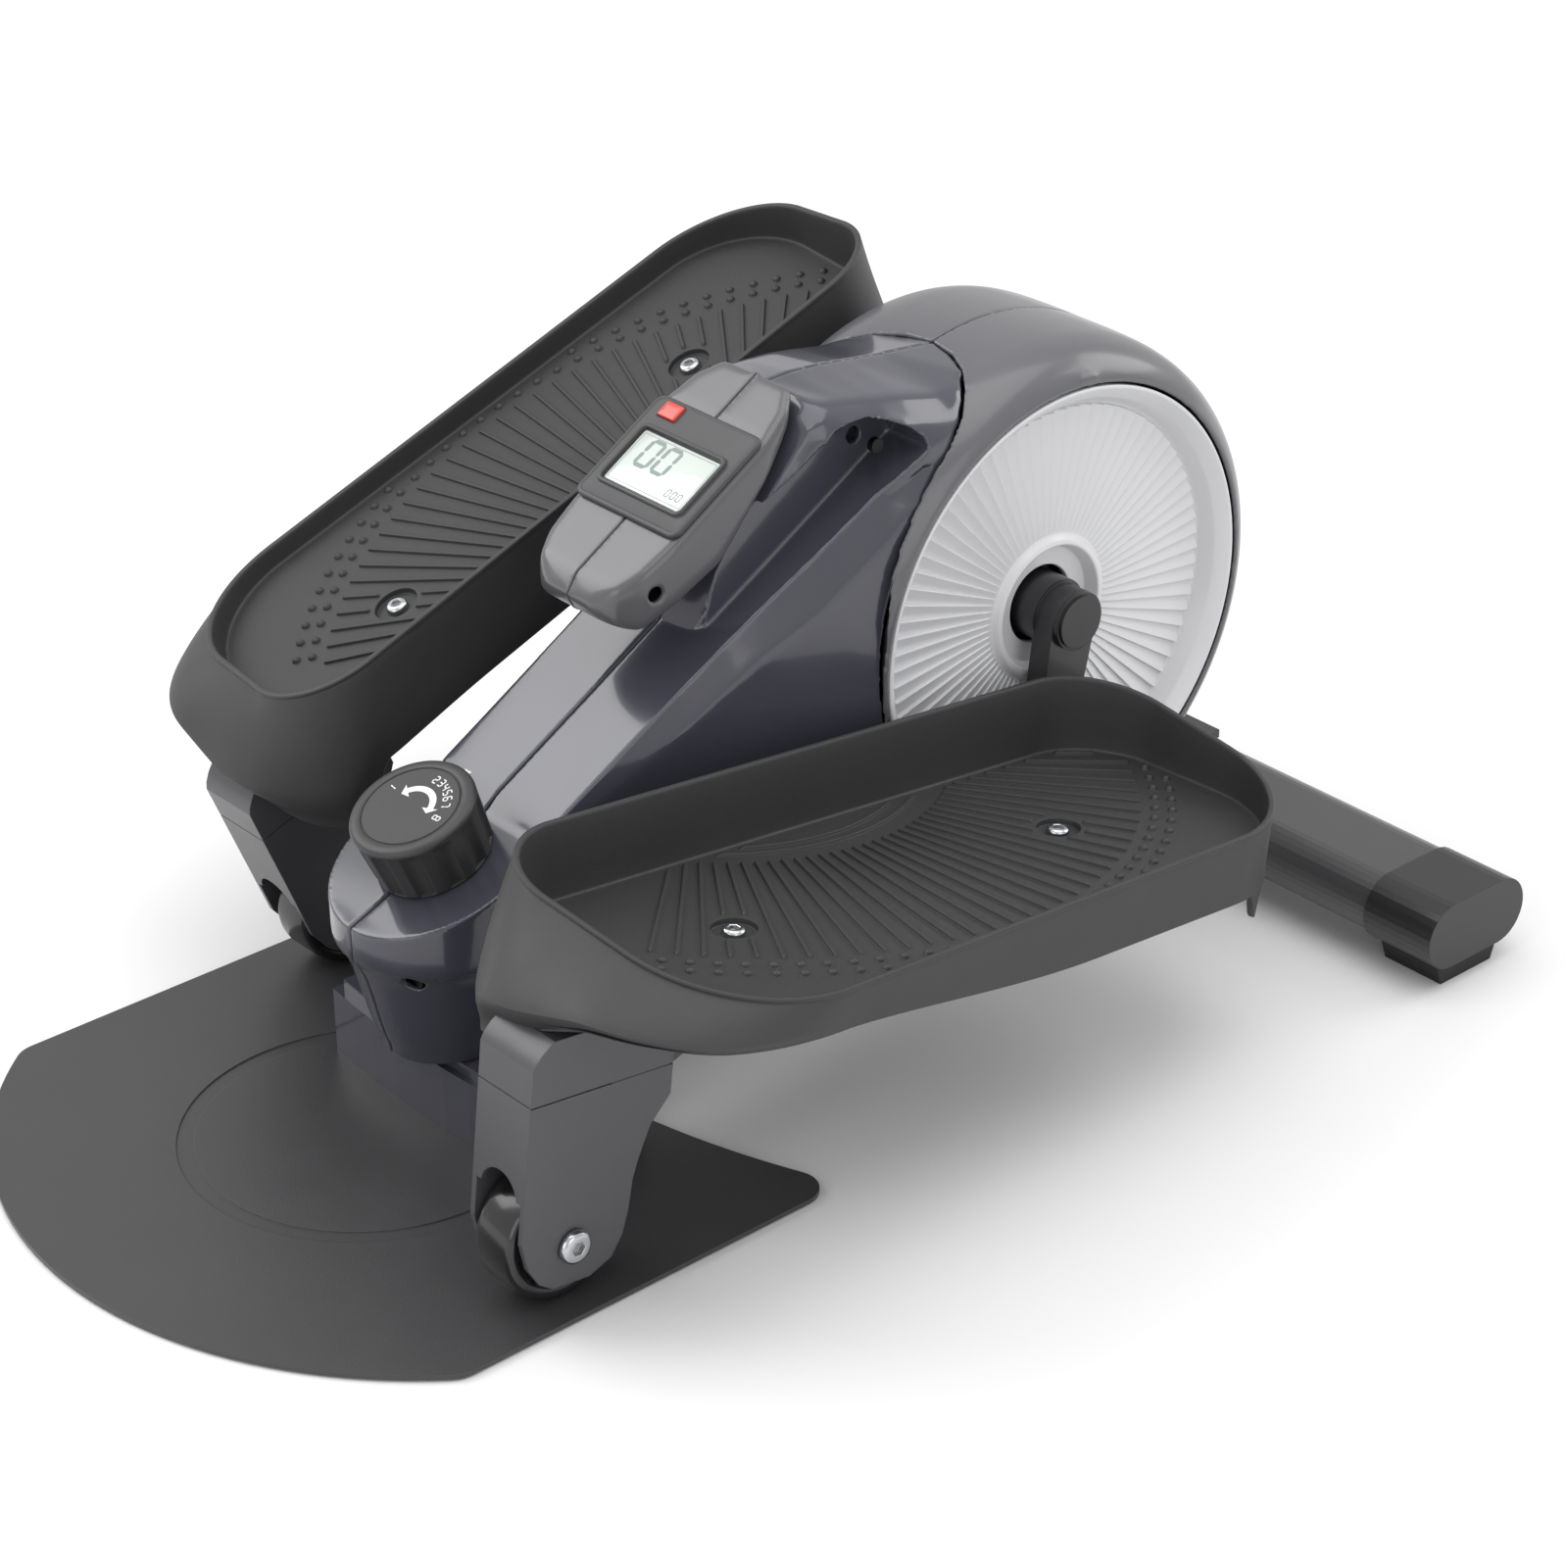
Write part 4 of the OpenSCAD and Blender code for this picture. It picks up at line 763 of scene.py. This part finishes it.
# pointer printed on the sloping face behind the knob
fz = lambda y: 188.86 + 0.5765 * y
make("pointer_print", [(-23.2, -87.2, fz(-87.2) + 0.12), (-18.6, -87.2, fz(-87.2) + 0.12), (-20.9, -90.6, fz(-90.6) + 0.12)], [(0, 1, 2)], "print_white", "chassis")

# ------------------------------------------------------------------ monitor
MC, MT = (3.8, 254.8), math.radians(31.5)

def monw(p):
    c, s_ = math.cos(MT), math.sin(MT)
    return (p[0], MC[0] + p[1] * c - p[2] * s_, MC[1] + p[1] * s_ + p[2] * c)

def rrect(cx, cy, w, h, r, n=8):
    P = []
    for sx, sy, a in ((1, 1, 0), (-1, 1, 90), (-1, -1, 180), (1, -1, 270)):
        P += [(cx + sx * (w / 2 - r) + r * math.cos(math.radians(a + 90 * i / n)), cy + sy * (h / 2 - r) + r * math.sin(math.radians(a + 90 * i / n))) for i in range(n + 1)]
    return P

def ring3(cx, cy, w, h, r, z):
    return [(x, y, z) for x, y in rrect(cx, cy, w, h, r)]

def monitor():
    # bezel: bevelled plate, raised frame round the display, sloping reveal down to it
    R_ = [
        ring3(0, 0, 53, 53, 3.0, -8.3), ring3(0, 0, 53, 53, 3.0, -2.4), ring3(0, 0, 63.4, 55.2, 4.2, -2.4), ring3(0, 0, 64, 56, 4.5, -1.9), ring3(0, 0, 64, 56, 4.5, -1.0),
        ring3(0, 0, 63.6, 55.6, 4.3, -0.45), ring3(0, 0, 62.8, 54.8, 4.0, -0.12), ring3(0, 0, 61.6, 53.6, 3.6, 0.0), ring3(0, 0, 60.6, 52.6, 3.3, 0.0), ring3(0, 0, 60.0, 52.0, 3.1, -0.28),
        ring3(0, -0.2, 59.4, 51.4, 3.0, -0.3),
    ]
    V, Fc = loft(R_, cap0=True)
    outer = rrect(0, -0.2, 59.4, 51.4, 3.0)
    lcd = rrect(0, -3.3, 53.4, 32.6, 4.0)
    btn = rrect(-19, 21.8, 12.0, 9.0, 1.2)
    pts = [Vector(p) for p in outer + lcd + btn]
    n = len(outer)
    edges = [(k * n + i, k * n + (i + 1) % n) for k in range(3) for i in range(n)]
    res = geometry.delaunay_2d_cdt(pts, edges, [], 0, 1e-6)
    b = len(V)
    V += [(p[0], p[1], -0.3) for p in res[0]]
    for tri in res[2]:
        c = (sum(res[0][i][0] for i in tri) / 3, sum(res[0][i][1] for i in tri) / 3)
        if inside(c, outer) and not inside(c, lcd) and not inside(c, btn):
            Fc.append(tuple(b + i for i in tri))
    parts = [(V, Fc)]
    parts.append(loft([ring3(0, -3.3, 53.4, 32.6, 4.0, -0.3), ring3(0, -3.3, 53.2, 32.4, 4.0, 0.6), ring3(0, -3.3, 52.6, 31.8, 3.8, 1.15), ring3(0, -3.3, 51.6, 30.8, 3.5, 1.35), ring3(0, -3.3, 50.4, 29.6, 3.0, 1.3), ring3(0, -3.3, 49.4, 28.6, 2.4, 0.9)]))
    parts.append(loft([ring3(-19, 21.8, 12.0, 9.0, 1.2, -0.3), ring3(-19, 21.8, 11.8, 8.8, 1.2, 0.0), ring3(-19, 21.8, 11.5, 8.5, 1.1, 0.05), ring3(-19, 21.8, 11.3, 8.3, 1.0, -0.15), ring3(-19, 21.8, 11.3, 8.3, 1.0, -2.2)]))
    V, Fc = join(parts)
    make("monitor_bezel", [monw(p) for p in V], Fc, "case_plastic", "chassis", node="monitor_case", angle=30)
    # red reset key with a domed, softly ridged top
    R_ = [ring3(-19, 21.8, 10.6, 7.6, 0.9, -5.0), ring3(-19, 21.8, 10.6, 7.6, 0.9, 0.5), ring3(-19, 21.8, 10.3, 7.3, 0.9, 0.9), ring3(-19, 21.8, 9.7, 6.7, 0.8, 1.1), ring3(-19, 21.8, 8.0, 5.0, 0.7, 1.2), ring3(-19, 21.8, 4.0, 1.6, 0.5, 1.2)]
    V, Fc = loft(R_, cap0=True, cap1=True)
    make("reset_key", [monw(p) for p in V], Fc, "red_button", "button", node="reset_button", angle=35)
    # display glass, its printed frame line and plain figures
    R_ = [ring3(0, -3.3, 47.7, 26.8, 1.0, -1.38), ring3(0, -3.3, 47.7, 26.8, 1.0, -0.62), ring3(0, -3.3, 47.3, 26.4, 0.9, -0.5)]
    V, Fc = loft(R_, cap0=True, cap1=True)
    make("display_glass", [monw(p) for p in V], Fc, "display", "chassis", node="lcd_window", angle=30)
    V, Fc = loft([ring3(0, -3.3, 49.4, 28.6, 2.4, 0.9), ring3(0, -3.3, 48.2, 27.2, 1.4, -0.3), ring3(0, -3.3, 47.8, 26.9, 1.0, -1.4)])
    make("display_reveal", [monw(p) for p in V], Fc, "black_plastic", "chassis", angle=30)
    V, Fc = loft([ring3(0, -3.3, 45.3, 24.4, 0.6, -0.46), ring3(0, -3.3, 44.8, 23.9, 0.5, -0.46)])
    make("display_frame_line", [monw(p) for p in V], Fc, "lcd_ink", "chassis")
    for i, ch in enumerate("00"):
        numeral(ch, 13.0, (-12.0 + i * 10.5, 0.9), 0.0, -0.45, monw, "chassis", "display_figure_%d" % i, "lcd_ink", 0.15, 0.08)
    for i, ch in enumerate("000"):
        numeral(ch, 3.6, (11.5 + i * 3.4, -11.2), 0.0, -0.45, monw, "chassis", "display_small_%d" % i, "lcd_ink", 0.14, 0.08)

monitor()
#PIECES_END#

# ------------------------------------------------------------------ stage, light, camera
def stage():
    me = bpy.data.meshes.new("floor")
    S = 12.0
    me.from_pydata([(-S, -S, 0), (S, -S, 0), (S, S, 0), (-S, S, 0)], [], [(0, 1, 2, 3)])
    o = bpy.data.objects.new("floor", me)
    bpy.context.collection.objects.link(o)
    m, nt, b = new_mat("floor_white")
    mp = coords(nt, 1.0)
    n = noise(nt, mp, 3.0, 3.0)
    r = ramp(nt, n.outputs["Fac"], [(0.3, (0.80, 0.80, 0.80)), (0.7, (0.82, 0.82, 0.82))])
    nt.links.new(r.outputs["Color"], b.inputs["Base Color"])
    setv(b, "Roughness", 0.9)
    setv(b, ["Specular IOR Level", "Specular"], 0.1)
    me.materials.append(m)

stage()

def area(name, loc, target, size, power, col=(1, 1, 1), sy=None):
    l = bpy.data.lights.new(name, "AREA")
    l.shape = "RECTANGLE"
    l.size = size
    l.size_y = sy or size
    l.energy = power
    l.color = col
    o = bpy.data.objects.new(name, l)
    bpy.context.collection.objects.link(o)
    o.location = loc
    d = Vector(target) - Vector(loc)
    o.rotation_euler = d.to_track_quat("-Z", "Y").to_euler()
    return o

area("key_left", (-1.6, -0.9, 1.7), (0, 0, 0.1), 1.6, 26)
area("top", (0.2, 0.2, 2.4), (0, 0, 0.1), 2.2, 25)
area("fill_right", (2.3, -0.4, 1.0), (0, 0.05, 0.1), 1.4, 7)
area("front", (0.3, -2.4, 0.9), (0, 0, 0.1), 1.4, 10)
area("rim_back", (0.6, 2.2, 1.3), (0, 0.1, 0.15), 1.3, 14)

w = bpy.data.worlds.new("studio")
bpy.context.scene.world = w
w.use_nodes = True
bg = w.node_tree.nodes.get("Background")
bg.inputs["Color"].default_value = (1, 1, 1, 1)
bg.inputs["Strength"].default_value = 0.75

cam = bpy.data.cameras.new("camera")
co = bpy.data.objects.new("camera", cam)
bpy.context.collection.objects.link(co)
co.location = (1.18106, -0.96091, 0.93392)
view = Vector((-0.65216, 0.58932, -0.47685)).normalized()
q = view.to_track_quat("-Z", "Y")
co.rotation_mode = "QUATERNION"
co.rotation_quaternion = q
cam.sensor_fit = "VERTICAL"
cam.sensor_height = 36.0
cam.lens = 4201.4 * 36 / 1600
cam.shift_x = -(872.85 - 798.5) / 1600
cam.shift_y = (800.33 - 800.0) / 1600
cam.clip_end = 50
bpy.context.scene.camera = co
bpy.context.scene.view_settings.view_transform = "Standard"
